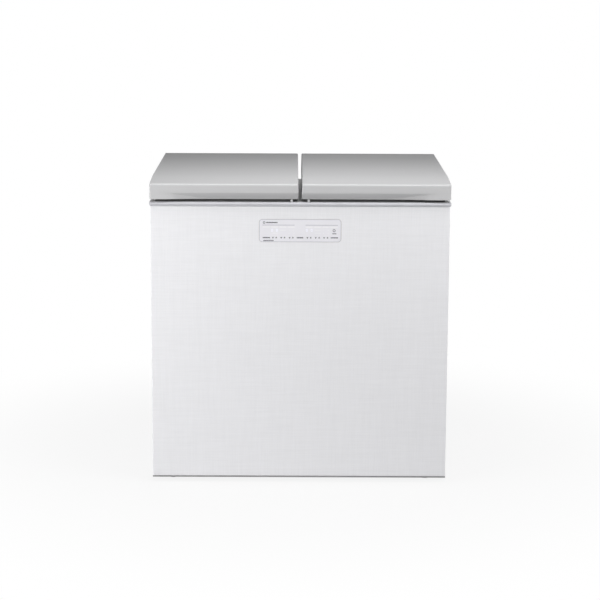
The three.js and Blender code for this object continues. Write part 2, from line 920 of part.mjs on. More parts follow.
function rollerBracket() {
  const top = 2 * rollerRadius + 5;
  const length = [-bracketHalfLength, bracketHalfLength];
  const outside = block([-cheekOutside, cheekOutside], length, [rollerRadius - 5.5, top + bracketSheet]);
  const inside = block([-cheekInside, cheekInside], [length[0] - past, length[1] + past], [0, top]);
  const flanges = [-1, 1].map((side) => {
    const reach = [side * (cheekOutside - bite), side * (cheekOutside + bracketFlange)];
    return block(reach.sort((a, b) => a - b), length, [baseTop + gap, baseTop + gap + bracketSheet]);
  });
  const bore = rod("x", axleRadius + gap, [-cheekOutside - 1, cheekOutside + 1], [0, rollerRadius]);
  return cut(join(cut(outside, inside), ...flanges), bore);
}

const axle = () => rod("x", axleRadius, [-cheekOutside - 2, cheekOutside + 2], [0, rollerRadius]);

const roller = () =>
  cut(
    rod("x", rollerRadius, [-rollerWidth / 2, rollerWidth / 2], [0, rollerRadius], 24),
    rod("x", axleRadius + gap, [-rollerWidth, rollerWidth], [0, rollerRadius]),
  );

// ---------------------------------------------------------------- machine room

const openingBottom = baseWallTop + 5;
const openingTop = machineTop - 10;
const coverHalf = shellHalf - openingMargin + coverOverlap;
const condenserX = condenserInset - shellHalf;
const fanX = condenserX + fanFromCondenser;
const condenserBottom = baseTop + 30;
const boardBoxX = shellHalf - boardBoxInset;
const fanY = machineMiddleY;
const fanZ = baseTop + shroudHalf + shroudFootDrop;

// Pan over the opening in the shell, with two rows of louvres and a hole for the mains lead's gland.
function rearCover() {
  const half = coverHalf;
  const bottom = openingBottom - coverOverlap;
  const top = openingTop + coverOverlap;
  const sheet = coverSheet;
  const pan = cut(
    block([-half, half], [shellRear + gap, rear], [bottom, top]),
    block([-half + sheet, half - sheet], [shellRear - 1, rear - sheet], [bottom + sheet, top - sheet]),
  );
  const slots = [];
  const rowMiddle = coverHalf / 2;
  const pitch = (coverHalf - 2 * slotMargin) / (slotCount - 1);
  [-1, 1].forEach((side) => {
    for (let i = 0; i < slotCount; i += 1) {
      const x = side * rowMiddle + (i - (slotCount - 1) / 2) * pitch;
      const z = (openingBottom + openingTop) / 2 + 20;
      const outline = [x - slotWidth / 2, x + slotWidth / 2];
      slots.push(block(outline, [rear - sheet - 1, rear + 1], [z - slotHeight / 2, z + slotHeight / 2]));
    }
  });
  return cut(pan, ...slots, rod("y", glandRadius + gap, [rear - sheet - 1, rear + 1], [glandX, glandZ]));
}

const glandX = boardBoxX;
const glandZ = openingBottom + 22;

// Bush in the rear cover where the mains lead would come out.
function powerGland() {
  const spot = [glandX, glandZ];
  const flangeFront = rear - coverSheet - gap;
  return cut(
    join(
      rod("y", glandRadius, [rear - 14, rear - 0.2], spot, 20),
      rod("y", glandRadius + glandFlange, [flangeFront - glandFlange, flangeFront], spot, 20),
    ),
    rod("y", glandBoreRadius, [rear - 20, rear + past], spot),
  );
}

const compressorBottom = baseTop + gap + grommetHeight + cradleSheet + gap;

// Steel can with a domed top, a terminal cover and a discharge stub that points to the fan.
function compressor() {
  const radius = compressorRadius;
  const can = turned([
    [0, 0],
    [radius - 20, 0],
    [radius - 5, 10],
    [radius, 30],
    [radius, compressorHeight * 0.55],
    [radius - 4, compressorHeight * 0.57],
    [radius - 5, compressorHeight * 0.75],
    [radius - 20, compressorHeight * 0.92],
    [radius - 48, compressorHeight],
    [0, compressorHeight],
  ]);
  const terminals = block([radius - 12, radius + 22], [-24, 24], [50, 104]);
  const stub = rod("x", 6, [-radius - stubReach, -radius + 15], [0, stubHeight]);
  return join(can, terminals, stub);
}


// Plate on four rubber grommets.
function compressorCradle() {
  const plate = block(
    [-cradleHalfX, cradleHalfX],
    [-cradleHalfY, cradleHalfY],
    [grommetHeight, grommetHeight + cradleSheet],
  );
  const inset = grommetRadius + 3;
  const grommets = [-1, 1].flatMap((x) =>
    [-1, 1].map((y) => {
      const spot = [x * (cradleHalfX - inset), y * (cradleHalfY - inset)];
      return rod("z", grommetRadius, [0, grommetHeight + bite], spot);
    }),
  );
  return join(plate, ...grommets);
}

// Serpentine pipe in upright layers.
function condenser() {
  const half = condenserRunLength / 2;
  const bend = condenserPitch / 2;
  const points = [];
  const add = (layer, y, z) => points.push(new THREE.Vector3(layer, y, z));
  for (let layer = 0; layer < condenserLayers; layer += 1) {
    const x = (layer - (condenserLayers - 1) / 2) * condenserPitch;
    for (let run = 0; run < condenserRuns; run += 1) {
      const level = layer % 2 === 0 ? run : condenserRuns - 1 - run;
      const way = (run + layer * condenserRuns) % 2 === 0 ? 1 : -1;
      const z = level * condenserPitch;
      add(x, -way * half, z);
      add(x, way * half, z);
      const bendSteps = 4;
      const last = run === condenserRuns - 1;
      for (let i = 1; i < bendSteps && !(last && layer === condenserLayers - 1); i += 1) {
        const angle = (Math.PI * i) / bendSteps;
        const along = bend * (1 - Math.cos(angle));
        const out = way * (half + bend * Math.sin(angle));
        if (last) {
          add(x + along, out, z);
        } else {
          add(x, out, z + (layer % 2 === 0 ? along : -along));
        }
      }
    }
  }
  return pipe(points, condenserPipeRadius, 6);
}

// Upright plate with a round hole, a foot, and three arms to the ring that holds the motor.
function fanShroud() {
  const bottom = gap - shroudHalf - shroudFootDrop;
  const plate = cut(
    block([0, shroudSheet], [-shroudHalf, shroudHalf], [bottom, shroudHalf]),
    rod("x", fanRadius + 4, [-1, shroudSheet + 1], [0, 0], 32),
  );
  const footPlate = block([0, shroudFootReach], [-shroudHalf, shroudHalf], [bottom, bottom + 2]);
  const ring = rod("x", motorRadius + 5, [0, 14], [0, 0], 24);
  const arms = [0, 1, 2].map((i) => {
    const arm = new THREE.BoxGeometry(8, 8, fanRadius + 12 - motorRadius);
    arm.translate(4, 0, motorRadius + (fanRadius + 12 - motorRadius) / 2);
    arm.rotateX((2 * Math.PI * i) / 3);
    return solidOf(arm);
  });
  return cut(join(plate, footPlate, ring, ...arms), rod("x", motorRadius + gap, [-1, 15], [0, 0], 24));
}

const fanMotor = () =>
  join(rod("x", motorRadius, [-2, 34], [0, 0], 24), rod("x", shaftRadius, [-22, 0]));

// Hub on the motor's shaft with twisted blades.
function fanBlade() {
  const hub = cut(rod("x", fanHubRadius, [-26, -6], [0, 0], 24), rod("x", shaftRadius + gap, [-23, 0]));
  const blades = [];
  for (let i = 0; i < fanBlades; i += 1) {
    const reach = fanRadius - fanHubRadius + 3;
    const blade = new THREE.BoxGeometry(2, 34, reach, 1, 1, 4);
    const position = blade.getAttribute("position");
    for (let k = 0; k < position.count; k += 1) {
      const out = position.getZ(k) / reach + 0.5;
      const twist = 0.85 - 0.4 * out;
      const x = position.getX(k);
      const y = position.getY(k) * (0.55 + 0.45 * out);
      const [c, s] = [Math.cos(twist), Math.sin(twist)];
      position.setXY(k, x * c - y * s, x * s + y * c);
    }
    blade.translate(-16, 0, fanHubRadius - 3 + reach / 2);
    blade.rotateX((2 * Math.PI * i) / fanBlades);
    blades.push(solidOf(blade));
  }
  return join(hub, ...blades).subtract(rod("x", shaftRadius + gap, [-23, 0]));
}

// From the compressor's stub, low behind the fan, with a filter drier on the way to the
// condenser's lower end.
function dischargePipe() {
  const start = new THREE.Vector3(
    compressorX - compressorRadius - stubReach - gap,
    machineMiddleY,
    compressorBottom + stubHeight,
  );
  const lane = machineMiddleY + shroudHalf + 30;
  const low = baseTop + 14;
  const inletX = condenserX - ((condenserLayers - 1) / 2) * condenserPitch;
  const inletY = machineMiddleY - condenserRunLength / 2 - gap;
  const frontLane = inletY - 24;
  const corners = [
    [start.x, start.y, start.z],
    [start.x - 16, start.y, start.z],
    [start.x - 24, start.y + 16, start.z],
    [start.x - 24, lane - 14, start.z - 10],
    [start.x - 34, lane, start.z - 20],
    [fanX + 60, lane, low + 14],
    [fanX + 40, lane, low],
    [fanX - 60, lane, low],
    [fanX - 80, lane - 14, low],
    [fanX - 80, frontLane + 14, low],
    [fanX - 94, frontLane, low],
    [inletX + 16, frontLane, low],
    [inletX, frontLane + 2, low + 8],
    [inletX, frontLane + 6, condenserBottom - 3],
    [inletX, frontLane + 12, condenserBottom],
    [inletX, inletY, condenserBottom],
  ];
  const route = corners.map(([x, y, z]) => new THREE.Vector3(x, y, z));
  const drier = rod("y", 10, [machineMiddleY - 40, machineMiddleY + 40], [fanX - 80, low], 16);
  return join(pipe(route, dischargeRadius, 6), drier);
}

// Closed box for the main board, with a flange at its front and back.
function boardBox() {
  const x = [-boardBoxHalfX, boardBoxHalfX];
  const flange = boardBoxHalfY + 15;
  return join(
    block(x, [-boardBoxHalfY, boardBoxHalfY], [0, boardBoxHeight]),
    block(x, [-flange, flange], [0, 3]),
  );
}

// ---------------------------------------------------------------- the assembly

place("base_frame", baseFrame(), finishes.galvanised);
place("cabinet_shell", cabinetShell(), finishes.side);
place("foam_body", foamBody(), finishes.foam);
place("front_panel", frontPanel(), finishes.panel);
place("bottom_trim", bottomTrim(), finishes.dark);
place("control_window", controlWindow(), finishes.glass);
place("control_board", controlBoard(), finishes.circuit);
place("front_trim", frontTrim(), finishes.trim);
place("top_deck", topDeck(), finishes.deck);
place("rear_cover", rearCover(), finishes.galvanised);
place("power_gland", powerGland(), finishes.dark);

place("compressor", compressor(), finishes.dark, refrigerator, [
  compressorX,
  machineMiddleY,
  compressorBottom,
]);
place("compressor_cradle", compressorCradle(), finishes.galvanised, refrigerator, [
  compressorX,
  machineMiddleY,
  baseTop + gap,
]);
place("condenser", condenser(), finishes.dark, refrigerator, [
  condenserX,
  machineMiddleY,
  condenserBottom,
]);
place("discharge_pipe", dischargePipe(), finishes.copper);
place("fan_shroud", fanShroud(), finishes.dark, refrigerator, [fanX, fanY, fanZ]);
place("fan_motor", fanMotor(), finishes.dark, refrigerator, [fanX, fanY, fanZ]);
place("fan_blade", fanBlade(), finishes.white, refrigerator, [fanX, fanY, fanZ]);
place("board_box", boardBox(), finishes.white, refrigerator, [boardBoxX, machineMiddleY, baseTop + gap]);

sides.forEach(([name, side], index) => {
  const well = wellGroups[index];
  place(`${name}_liner`, wellLiner(), finishes.aluminium, well);
  place(`${name}_evaporator`, coolingCoil(), finishes.copper, well);
  place(`${name}_bumper`, bumper(), finishes.deck, refrigerator, [
    side * bumperOffset,
    front + gripDepth - 1.5,
    deckTop + gap,
  ]);
  place(`${name}_foot`, foot(), finishes.dark, refrigerator, [side * footX, footY, 0]);
  const rollerSpot = [side * footX, rollerY, 0];
  place(`${name}_roller_bracket`, rollerBracket(), finishes.galvanised, refrigerator, rollerSpot);
  place(`${name}_roller_axle`, axle(), finishes.steel, refrigerator, rollerSpot);
  place(`${name}_roller`, roller(), finishes.dark, refrigerator, rollerSpot);

  const lid = new THREE.Group();
  lid.scale.x = side; // the left lid mirrors the right one
  refrigerator.add(lid);
  place(`${name}_lid_cover`, lidCover(), finishes.lid, lid);
  place(`${name}_lid_foam`, lidFoam(), finishes.foam, lid);
  place(`${name}_lid_liner`, lidLiner(), finishes.white, lid);
  place(`${name}_lid_gasket`, lidGasket(), finishes.seal, lid);
  ["inner", "outer"].forEach((which, spot) => {
    const pivot = [hingeSpots[spot], pivotY, pivotZ];
    const sprung = which === "outer";
    place(`${name}_${which}_hinge_base`, hingeBase(), finishes.steel, lid, pivot);
    place(`${name}_${which}_hinge_pin`, hingePin(), finishes.steel, lid, pivot);
    place(`${name}_${which}_hinge_leaf`, hingeLeaf(sprung), finishes.steel, lid, pivot);
    if (sprung) {
      place(`${name}_hinge_spring`, hingeSpring(), finishes.steel, lid, pivot);
    }
  });
});

["lower", "upper"].forEach((level, index) => {
  const seat = [0, tubMiddleY, gap + index * tubStep];
  place(`${level}_tub`, tub(), finishes.tub, wellGroups[0], seat);
  place(`${level}_tub_lid`, tubLid(), finishes.tubLid, wellGroups[0], seat);
});

export default refrigerator;
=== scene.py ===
import json
from math import cos, pi, radians, sin

import bmesh
import bpy
from mathutils import Matrix, Vector

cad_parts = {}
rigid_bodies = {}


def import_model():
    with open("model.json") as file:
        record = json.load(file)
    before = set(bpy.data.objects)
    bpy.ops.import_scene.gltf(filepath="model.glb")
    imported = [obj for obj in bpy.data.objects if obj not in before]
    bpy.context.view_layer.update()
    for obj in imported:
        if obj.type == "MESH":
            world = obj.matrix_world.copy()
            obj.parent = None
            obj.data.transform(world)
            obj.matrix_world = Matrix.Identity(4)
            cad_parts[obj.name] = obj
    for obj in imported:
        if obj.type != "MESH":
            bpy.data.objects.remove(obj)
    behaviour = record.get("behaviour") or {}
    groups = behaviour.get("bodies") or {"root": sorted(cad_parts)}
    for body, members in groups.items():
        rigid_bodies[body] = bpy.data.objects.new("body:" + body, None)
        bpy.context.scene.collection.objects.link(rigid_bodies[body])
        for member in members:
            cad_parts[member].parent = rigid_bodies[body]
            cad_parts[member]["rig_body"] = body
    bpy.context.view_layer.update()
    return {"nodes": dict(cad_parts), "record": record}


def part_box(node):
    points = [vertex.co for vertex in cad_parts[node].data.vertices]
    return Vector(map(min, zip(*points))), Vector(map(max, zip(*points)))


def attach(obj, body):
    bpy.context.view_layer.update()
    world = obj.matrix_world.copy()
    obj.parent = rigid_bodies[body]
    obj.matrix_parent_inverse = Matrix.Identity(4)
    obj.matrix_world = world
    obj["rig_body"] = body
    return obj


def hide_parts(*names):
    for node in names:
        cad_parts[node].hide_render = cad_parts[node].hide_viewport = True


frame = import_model()
nodes = frame["nodes"]
slotOf = {row["node"]: row["material_slot"] for row in frame["record"]["subparts"]}
mm = 0.001
print("frame loaded,", len(nodes), "nodes")


def newObject(name, data):
    thing = bpy.data.objects.new(name, data)
    bpy.context.scene.collection.objects.link(thing)
    return thing


def feed(node, values):
    # each value is a plain one for that input, or the socket that drives it
    for label, value in values.items():
        if isinstance(value, bpy.types.NodeSocket):
            node.id_data.links.new(value, node.inputs[label])
        else:
            node.inputs[label].default_value = value


def wired(tree, kind, values=(), output=0, **settings):
    # an output of a new node, which is set and fed
    node = tree.nodes.new(kind)
    for label, value in settings.items():
        setattr(node, label, value)
    feed(node, dict(values))
    return node.outputs[output]


def shaderOf(finish):
    return finish.node_tree.nodes["Principled BSDF"]


def newFinish(name, colour, roughness, metallic=0, specular=0.5):
    finish = bpy.data.materials.new(name)
    finish.use_nodes = True
    finish.diffuse_color = (*colour, 1)
    look = {"Base Color": (*colour, 1), "Roughness": roughness, "Metallic": metallic}
    feed(shaderOf(finish), {**look, "Specular IOR Level": specular})
    return finish


# camera, at the photograph's angle
cameraSizes = {
    "place": (-0.0206, -6.1561, 1.6986),  # metres
    "pitch": 10.94,  # degrees below the horizon
    "yaw": -0.21,
    "roll": 0.261,
    "lens": 114.51,
}


def makeCamera(sizes):
    camera = newObject("camera", bpy.data.cameras.new("camera"))
    camera.data.lens = sizes["lens"]
    turn = (
        Matrix.Rotation(radians(sizes["yaw"]), 4, "Z")
        @ Matrix.Rotation(radians(90 - sizes["pitch"]), 4, "X")
        @ Matrix.Rotation(radians(sizes["roll"]), 4, "Z")
    )
    camera.matrix_world = Matrix.Translation(sizes["place"]) @ turn
    bpy.context.scene.camera = camera


makeCamera(cameraSizes)
bpy.context.scene.view_settings.view_transform = "Standard"


# softboxes: name, place and target in metres, width, height, power in watts
softboxes = [
    ("leftFrontSoftbox", (-1.71, -1.75, 0.95), (-0.1, -0.38, 0.5), 1.2, 1.6, 28),
    ("rightFrontSoftbox", (1.6, -1.62, 1.84), (0.1, -0.38, 0.5), 1.2, 1.6, 26),
    ("lidSoftbox", (0, -0.5, 1.85), (0, -0.46, 0.9), 1.6, 0.16, 9),
    ("leftSoftbox", (-4.2, 0.6, 0.6), (0, 0, 0.5), 2.6, 1.0, 38),
    ("rightSoftbox", (4.2, 0.6, 0.6), (0, 0, 0.5), 2.6, 1.0, 38),
    ("rearSoftbox", (0.5, 4.6, 0.6), (0, 0, 0.45), 3.0, 1.0, 72),
]
studioSizes = {
    "air": 0.1,
    "floor": 0.68,
    "floorHalf": 14,  # metres
    "glow": 0.86,  # share of the floor that glows where it is seen, up to 1 further off
    "glowReach": (0.4, 1.6),  # metres from the middle
}
white = (1, 1, 1, 1)


def seenRay(tree):
    # 1 for what is seen straight on, mirrored or through a window
    seen = wired(tree, "ShaderNodeLightPath", (), "Is Camera Ray")
    path = seen.node.outputs
    for ray in ("Is Glossy Ray", "Is Transmission Ray"):
        seen = wired(tree, "ShaderNodeMath", {0: seen, 1: path[ray]}, operation="MAXIMUM")
    return seen


def mixed(tree, share, first, second, sink):
    mix = wired(tree, "ShaderNodeMixShader", {"Fac": share, 1: first, 2: second})
    feed(tree.nodes[sink], {"Surface": mix})


def makeSoftbox(name, place, target, width, height, power):
    light = bpy.data.lights.new(name, "AREA")
    light.shape, light.size, light.size_y, light.energy = "RECTANGLE", width, height, power
    lamp = newObject(name, light)
    aim = (Vector(target) - Vector(place)).to_track_quat("-Z", "Y")
    lamp.matrix_world = Matrix.Translation(place) @ aim.to_matrix().to_4x4()
    lamp.visible_camera = False


def makeAir(sizes):
    # soft grey for the light, white where it is seen
    world = bpy.data.worlds.new("studioAir")
    world.use_nodes = True
    bpy.context.scene.world = world
    tree = world.node_tree
    air = tree.nodes["Background"]
    feed(air, {"Color": white, "Strength": sizes["air"]})
    bright = wired(tree, "ShaderNodeBackground", {"Color": white})
    mixed(tree, seenRay(tree), air.outputs[0], bright, "World Output")


def makeFloor(sizes):
    # pale, and it keeps the shadow; further off it only glows
    half = sizes["floorHalf"]
    mesh = bpy.data.meshes.new("studioFloor")
    corners = [(-half, -half, 0), (half, -half, 0), (half, half, 0), (-half, half, 0)]
    mesh.from_pydata(corners, [], [(0, 1, 2, 3)])
    pale = newFinish("paleFloor", (sizes["floor"],) * 3, 0.9, specular=0.1)
    tree, (near, far) = pale.node_tree, sizes["glowReach"]
    place = wired(tree, "ShaderNodeTexCoord", (), "Object")
    away = wired(tree, "ShaderNodeVectorMath", {0: place}, "Value", operation="LENGTH")
    reach = {"Value": away, "From Min": near, "From Max": far, "To Min": sizes["glow"]}
    rise = wired(tree, "ShaderNodeMapRange", reach, interpolation_type="SMOOTHSTEP")
    share = wired(tree, "ShaderNodeMath", {0: seenRay(tree), 1: rise}, operation="MULTIPLY")
    mixed(tree, share, shaderOf(pale).outputs[0], wired(tree, "ShaderNodeEmission"), "Material Output")
    mesh.materials.append(pale)
    newObject("studioFloor", mesh)


for softbox in softboxes:
    makeSoftbox(*softbox)
makeAir(studioSizes)
makeFloor(studioSizes)
print("camera, studio and floor set")


# finishes
textures = {  # node and output
    "noise": ("ShaderNodeTexNoise", "Fac"),
    "cells": ("ShaderNodeTexVoronoi", "Distance"),
    "bands": ("ShaderNodeTexWave", "Fac"),
}


def pattern(finish, kind, scale, detail=2, **settings):
    # a texture read in the object's own metres, stretched by scale
    tree = finish.node_tree
    stretch = scale if isinstance(scale, tuple) else (scale,) * 3
    place = wired(tree, "ShaderNodeTexCoord", (), "Object")
    mapped = wired(tree, "ShaderNodeMapping", {"Scale": stretch, "Vector": place})
    node, output = textures[kind]
    return wired(tree, node, {"Vector": mapped, "Scale": 1, "Detail": detail, **settings}, output)


def spread(finish, value, low, high, fromLow=0.25, fromHigh=0.75):
    ends = {"Value": value, "From Min": fromLow, "From Max": fromHigh, "To Min": low, "To Max": high}
    return wired(finish.node_tree, "ShaderNodeMapRange", ends)


def tint(finish, value, share, low=0.3, high=0.7):
    # from a darker to a lighter neighbour of the finish's own colour
    colour = shaderOf(finish).inputs["Base Color"].default_value[:3]
    ramp = wired(finish.node_tree, "ShaderNodeValToRGB", {"Fac": value})
    first, last = ramp.node.color_ramp.elements
    first.position, first.color = low, (*[c * (1 - share) for c in colour], 1)
    last.position, last.color = high, (*[min(c * (1 + share), 1) for c in colour], 1)
    feed(shaderOf(finish), {"Base Color": ramp})


def paintShade(finish, attribute, share):
    # paints shade: darkens the colour by an attribute of the mesh
    tree, shader = finish.node_tree, shaderOf(finish)
    mask = wired(tree, "ShaderNodeAttribute", (), "Fac", attribute_name=attribute)
    painted = shader.inputs["Base Color"].links[0].from_socket
    scale = {0: painted, "Scale": spread(finish, mask, 1, share, 0, 1)}
    feed(shader, {"Base Color": wired(tree, "ShaderNodeVectorMath", scale, operation="SCALE")})


def gloss(finish, value, *ends):
    feed(shaderOf(finish), {"Roughness": spread(finish, value, *ends)})


def headOnGloss(finish, level, start, end):
    # satin seen straight on, matt when seen along the surface
    facing = wired(finish.node_tree, "ShaderNodeLayerWeight", (), "Facing")
    feed(shaderOf(finish), {"Specular IOR Level": spread(finish, facing, level, 0, start, end)})


def relief(finish, value, depth, strength=1):
    # bump of the given depth
    bump = {"Strength": strength, "Distance": depth * mm, "Height": value}
    feed(shaderOf(finish), {"Normal": wired(finish.node_tree, "ShaderNodeBump", bump)})


def linenPanel(colour):
    # printed steel with a fine woven look: threads across and threads down
    finish = newFinish("linenPanel", colour, 0.4, specular=0.3)
    across, down = pattern(finish, "noise", (11, 1, 330), 3), pattern(finish, "noise", (330, 1, 11), 3)
    both = wired(finish.node_tree, "ShaderNodeMath", {0: across, 1: down})
    weave = spread(finish, both, 0, 1, 0.6, 1.4)
    tint(finish, weave, 0.027, 0.1, 0.9)
    gloss(finish, weave, 0.38, 0.46, 0, 1)
    relief(finish, weave, 0.012)
    return finish


def silverPaint(colour):
    # metallic paint: fine flakes under a satin coat, a slight orange peel, and painted shade that darkens the
    # finger grip's recess
    finish = newFinish("silverPaint", colour, 0.5, specular=0.08)
    tint(finish, pattern(finish, "cells", 2600), 0.05, 0.1, 0.8)
    # painted shade in the finger grip's recess, deeper where the grip is deeper
    paintShade(finish, "paintedGripShade", 0.8)
    gloss(finish, pattern(finish, "noise", 14), 0.34, 0.42)
    relief(finish, pattern(finish, "noise", 260, 1), 0.012)
    headOnGloss(finish, 0.65, 0.45, 0.8)
    return finish


def mouldedPlastic(name, colour, roughness=0.45, specular=0.4, depth=0.03):
    # fine spark-eroded grain, with slight changes in shade and gloss
    finish = newFinish(name, colour, roughness, specular=specular)
    tint(finish, pattern(finish, "noise", 18, 3), 0.03)
    gloss(finish, pattern(finish, "noise", 60), roughness - 0.06, roughness + 0.06)
    relief(finish, pattern(finish, "noise", 1500), depth)
    return finish


def brushedMetal(name, colour, roughness, scale):
    finish = newFinish(name, colour, roughness, 1)
    lines = pattern(finish, "noise", scale, 3)
    tint(finish, lines, 0.06)
    gloss(finish, lines, roughness - 0.07, roughness + 0.09)
    relief(finish, lines, 0.01)
    return finish


def surface(name, colour, base, shade, sheen, bump=None):
    # base: roughness, metal and specular level; each of the others: a texture, then how far it works
    finish = newFinish(name, colour, *base)
    made = {}
    for work, row in ((tint, shade), (gloss, sheen), (relief, bump)):
        if row:
            texture, *amounts = row
            if texture not in made:
                kind, scale, detail, *extra = texture
                made[texture] = pattern(finish, kind, scale, detail, **dict(extra))
            work(finish, made[texture], *amounts)
    return finish


spangle = ("cells", 70, 2)  # crystals of a zinc coat
stucco = ("cells", 260, 2, ("Randomness", 0.8))  # embossing of a food liner
foamCells = ("cells", 380, 2)
tracks = ("bands", (120, 120, 160), 2, ("Distortion", 4))
finishes = {
    "lid": silverPaint((0.53, 0.53, 0.536)),
    "panel": linenPanel((0.87, 0.87, 0.89)),
    "side": surface(
        "whiteSteel", (0.74, 0.74, 0.76), (0.5, 0, 0.35),
        (("noise", 6, 4), 0.02), (("noise", 30, 2), 0.44, 0.56), (("noise", 420, 1), 0.02),
    ),
    "trim": mouldedPlastic("satinTrim", (0.55, 0.55, 0.58), 0.42, 0.3, 0.01),
    "deck": mouldedPlastic("deckPlastic", (0.55, 0.55, 0.56)),
    "window": surface(
        "windowSheet", (0.862, 0.853, 0.893), (0.3, 0, 0.3),
        (("noise", 9, 2), 0.015), (("noise", 9, 2), 0.26, 0.36),
    ),
    "white_plastic": mouldedPlastic("linerPlastic", (0.78, 0.78, 0.77), 0.35),
    "dark_plastic": mouldedPlastic("darkPlastic", (0.06, 0.06, 0.063), 0.5),
    "black_enamel": surface(
        "castEnamel", (0.02, 0.02, 0.021), (0.35, 0, 0.5),
        (("noise", 22, 4), 0.2), (("noise", 50, 2), 0.28, 0.44), (("noise", 240, 2), 0.08),
    ),
    "aluminium": surface(
        "embossedAluminium", (0.66, 0.67, 0.68), (0.34, 0.85),
        (("noise", 25, 3), 0.05), (("noise", 90, 2), 0.28, 0.4), (stucco, 0.25, 0.7),
    ),
    "galvanised": surface(
        "zincSteel", (0.33, 0.34, 0.35), (0.42, 0.9),
        (spangle, 0.12, 0.05, 0.7), (spangle, 0.34, 0.52, 0, 0.8), (("noise", 300, 2), 0.01),
    ),
    "steel": brushedMetal("turnedSteel", (0.38, 0.38, 0.38), 0.33, (800, 60, 60)),
    "copper": brushedMetal("copperPipe", (0.60, 0.30, 0.18), 0.35, (60, 60, 500)),
    "foam": surface(
        "cellFoam", (0.76, 0.67, 0.40), (0.9, 0, 0.2),
        (("noise", 30, 4), 0.12), (foamCells, 0.8, 0.95, 0, 0.7), (foamCells, 0.4),
    ),
    "seal": surface(
        "sealRubber", (0.1, 0.1, 0.1), (0.6, 0, 0.35),
        (("noise", 40, 3), 0.12), (("noise", 90, 2), 0.52, 0.68), (("noise", 900, 2), 0.04),
    ),
    "circuit": surface(
        "circuitBoard", (0.03, 0.16, 0.07), (0.45, 0, 0.5),
        (tracks, 0.25, 0.4, 0.6), (tracks, 0.35, 0.55), (tracks, 0.03),
    ),
    "tub": mouldedPlastic("tubPlastic", (0.60, 0.56, 0.48), 0.45, 0.4, 0.01),
    "tub_lid": mouldedPlastic("tubLidPlastic", (0.24, 0.07, 0.045), 0.38, 0.45, 0.02),
}
footTrim = mouldedPlastic("footTrimPlastic", (0.30, 0.30, 0.30), 0.5)
printInk = mouldedPlastic("printInk", (0.06, 0.06, 0.07), 0.5, 0.3, 0.005)
printPale = mouldedPlastic("printPale", (0.40, 0.40, 0.45), 0.5, 0.3, 0.005)
printWhite = mouldedPlastic("printWhite", (0.97, 0.97, 0.98), 0.4, 0.3, 0.005)
figureGlow = mouldedPlastic("figureGlow", (0.9, 0.9, 0.98), 0.4, 0.3, 0.005)
feed(shaderOf(figureGlow), {"Emission Color": (0.85, 0.85, 1, 1), "Emission Strength": 0.2})
zincScrew = brushedMetal("zincScrew", (0.34, 0.34, 0.34), 0.3, (900, 900, 60))
print("finishes made,", len(bpy.data.materials))


# shapes
def flat(z):
    return lambda a, b: (a, b, z)


def upright(y):
    return lambda a, b: (a, y, b)


def quarterTurn(steps):
    return [radians(90 * i / steps) for i in range(steps + 1)]


def fullTurn(steps):
    return [2 * pi * i / steps for i in range(steps)]


def edgeRound(r, steps):
    # rows of inset and height that round an edge
    return [(r * (1 - sin(t)), r * (1 - cos(t))) for t in quarterTurn(steps)]


def about(centre, half):
    return (centre - half, centre + half)


def within(span, inset):
    return (span[0] + inset, span[1] - inset)


def middle(span):
    return sum(span) / 2


def roundedLoop(a, b, inset, radius, put, steps=8):
    # points round a rectangle, drawn in by the inset, with round corners; put places its two coordinates
    r = max(radius, 0.02)
    (a0, a1), (b0, b1) = (within(within(span, inset), r) for span in (a, b))
    loop = []
    for ca, cb, start in ((a1, b0, -90), (a1, b1, 0), (a0, b1, 90), (a0, b0, 180)):
        for i in range(steps + 1):
            angle = radians(start + 90 * i / steps)
            loop.append(put(ca + r * cos(angle), cb + r * sin(angle)))
    return loop


def skin(shape, loops, ends="capped"):
    # a surface over a row of loops, with capped, joined or open ends
    rows = [[shape.verts.new(point) for point in loop] for loop in loops]
    if ends == "capped":
        shape.faces.new(rows[0][::-1])
        shape.faces.new(rows[-1])
    for lower, upper in zip(rows, rows[1:] + (rows[:1] if ends == "joined" else [])):
        for i in range(len(lower)):
            j = (i + 1) % len(lower)
            shape.faces.new((lower[i], lower[j], upper[j], upper[i]))


def pane(shape, outline, holes=()):
    # a flat face with holes in it
    edges = []
    for loop in (outline, *holes):
        ring = [shape.verts.new(point) for point in loop]
        edges += [shape.edges.new((ring[i], ring[(i + 1) % len(ring)])) for i in range(len(ring))]
    bmesh.ops.triangle_fill(shape, use_beauty=True, use_dissolve=False, edges=edges)


def plate(shape, outline, put, levels):
    # a sheet of any outline between two levels
    faces = [[put(level)(*point) for point in outline] for level in levels]
    skin(shape, faces, "open")
    for face in faces:
        pane(shape, face)


def block(shape, x, y, z, r):
    # a box with round edges
    rows = [(z[0], r), (z[0] + r, 0), (z[1] - r, 0), (z[1], r)]
    skin(shape, [roundedLoop(x, y, inset, r, flat(h), 3) for h, inset in rows])


def turned(shape, profile, axis, centre, facets, ends="capped"):
    # a profile of radius and height turned about an axis
    cx, cy, cz = centre
    put = {
        "z": lambda u, v, w: (cx + u, cy + v, cz + w),
        "x": lambda u, v, w: (cx + w, cy + u, cz + v),
    }[axis]
    loops = []
    for radius, h in profile:
        r = max(radius, 0.0005)  # a point would fold the cap
        loops.append([put(r * cos(t), r * sin(t), h) for t in fullTurn(facets)])
    skin(shape, loops, ends)


def pipe(shape, path, radius, facets=12):
    points = [Vector(p) for p in path]
    last = len(points) - 1
    side = None
    loops = []
    for i, point in enumerate(points):
        ahead = (points[min(i + 1, last)] - points[max(i - 1, 0)]).normalized()
        side = (side - ahead * side.dot(ahead)).normalized() if side else ahead.orthogonal().normalized()
        up = ahead.cross(side)
        loops.append([point + radius * (cos(t) * side + sin(t) * up) for t in fullTurn(facets)])
    skin(shape, loops)


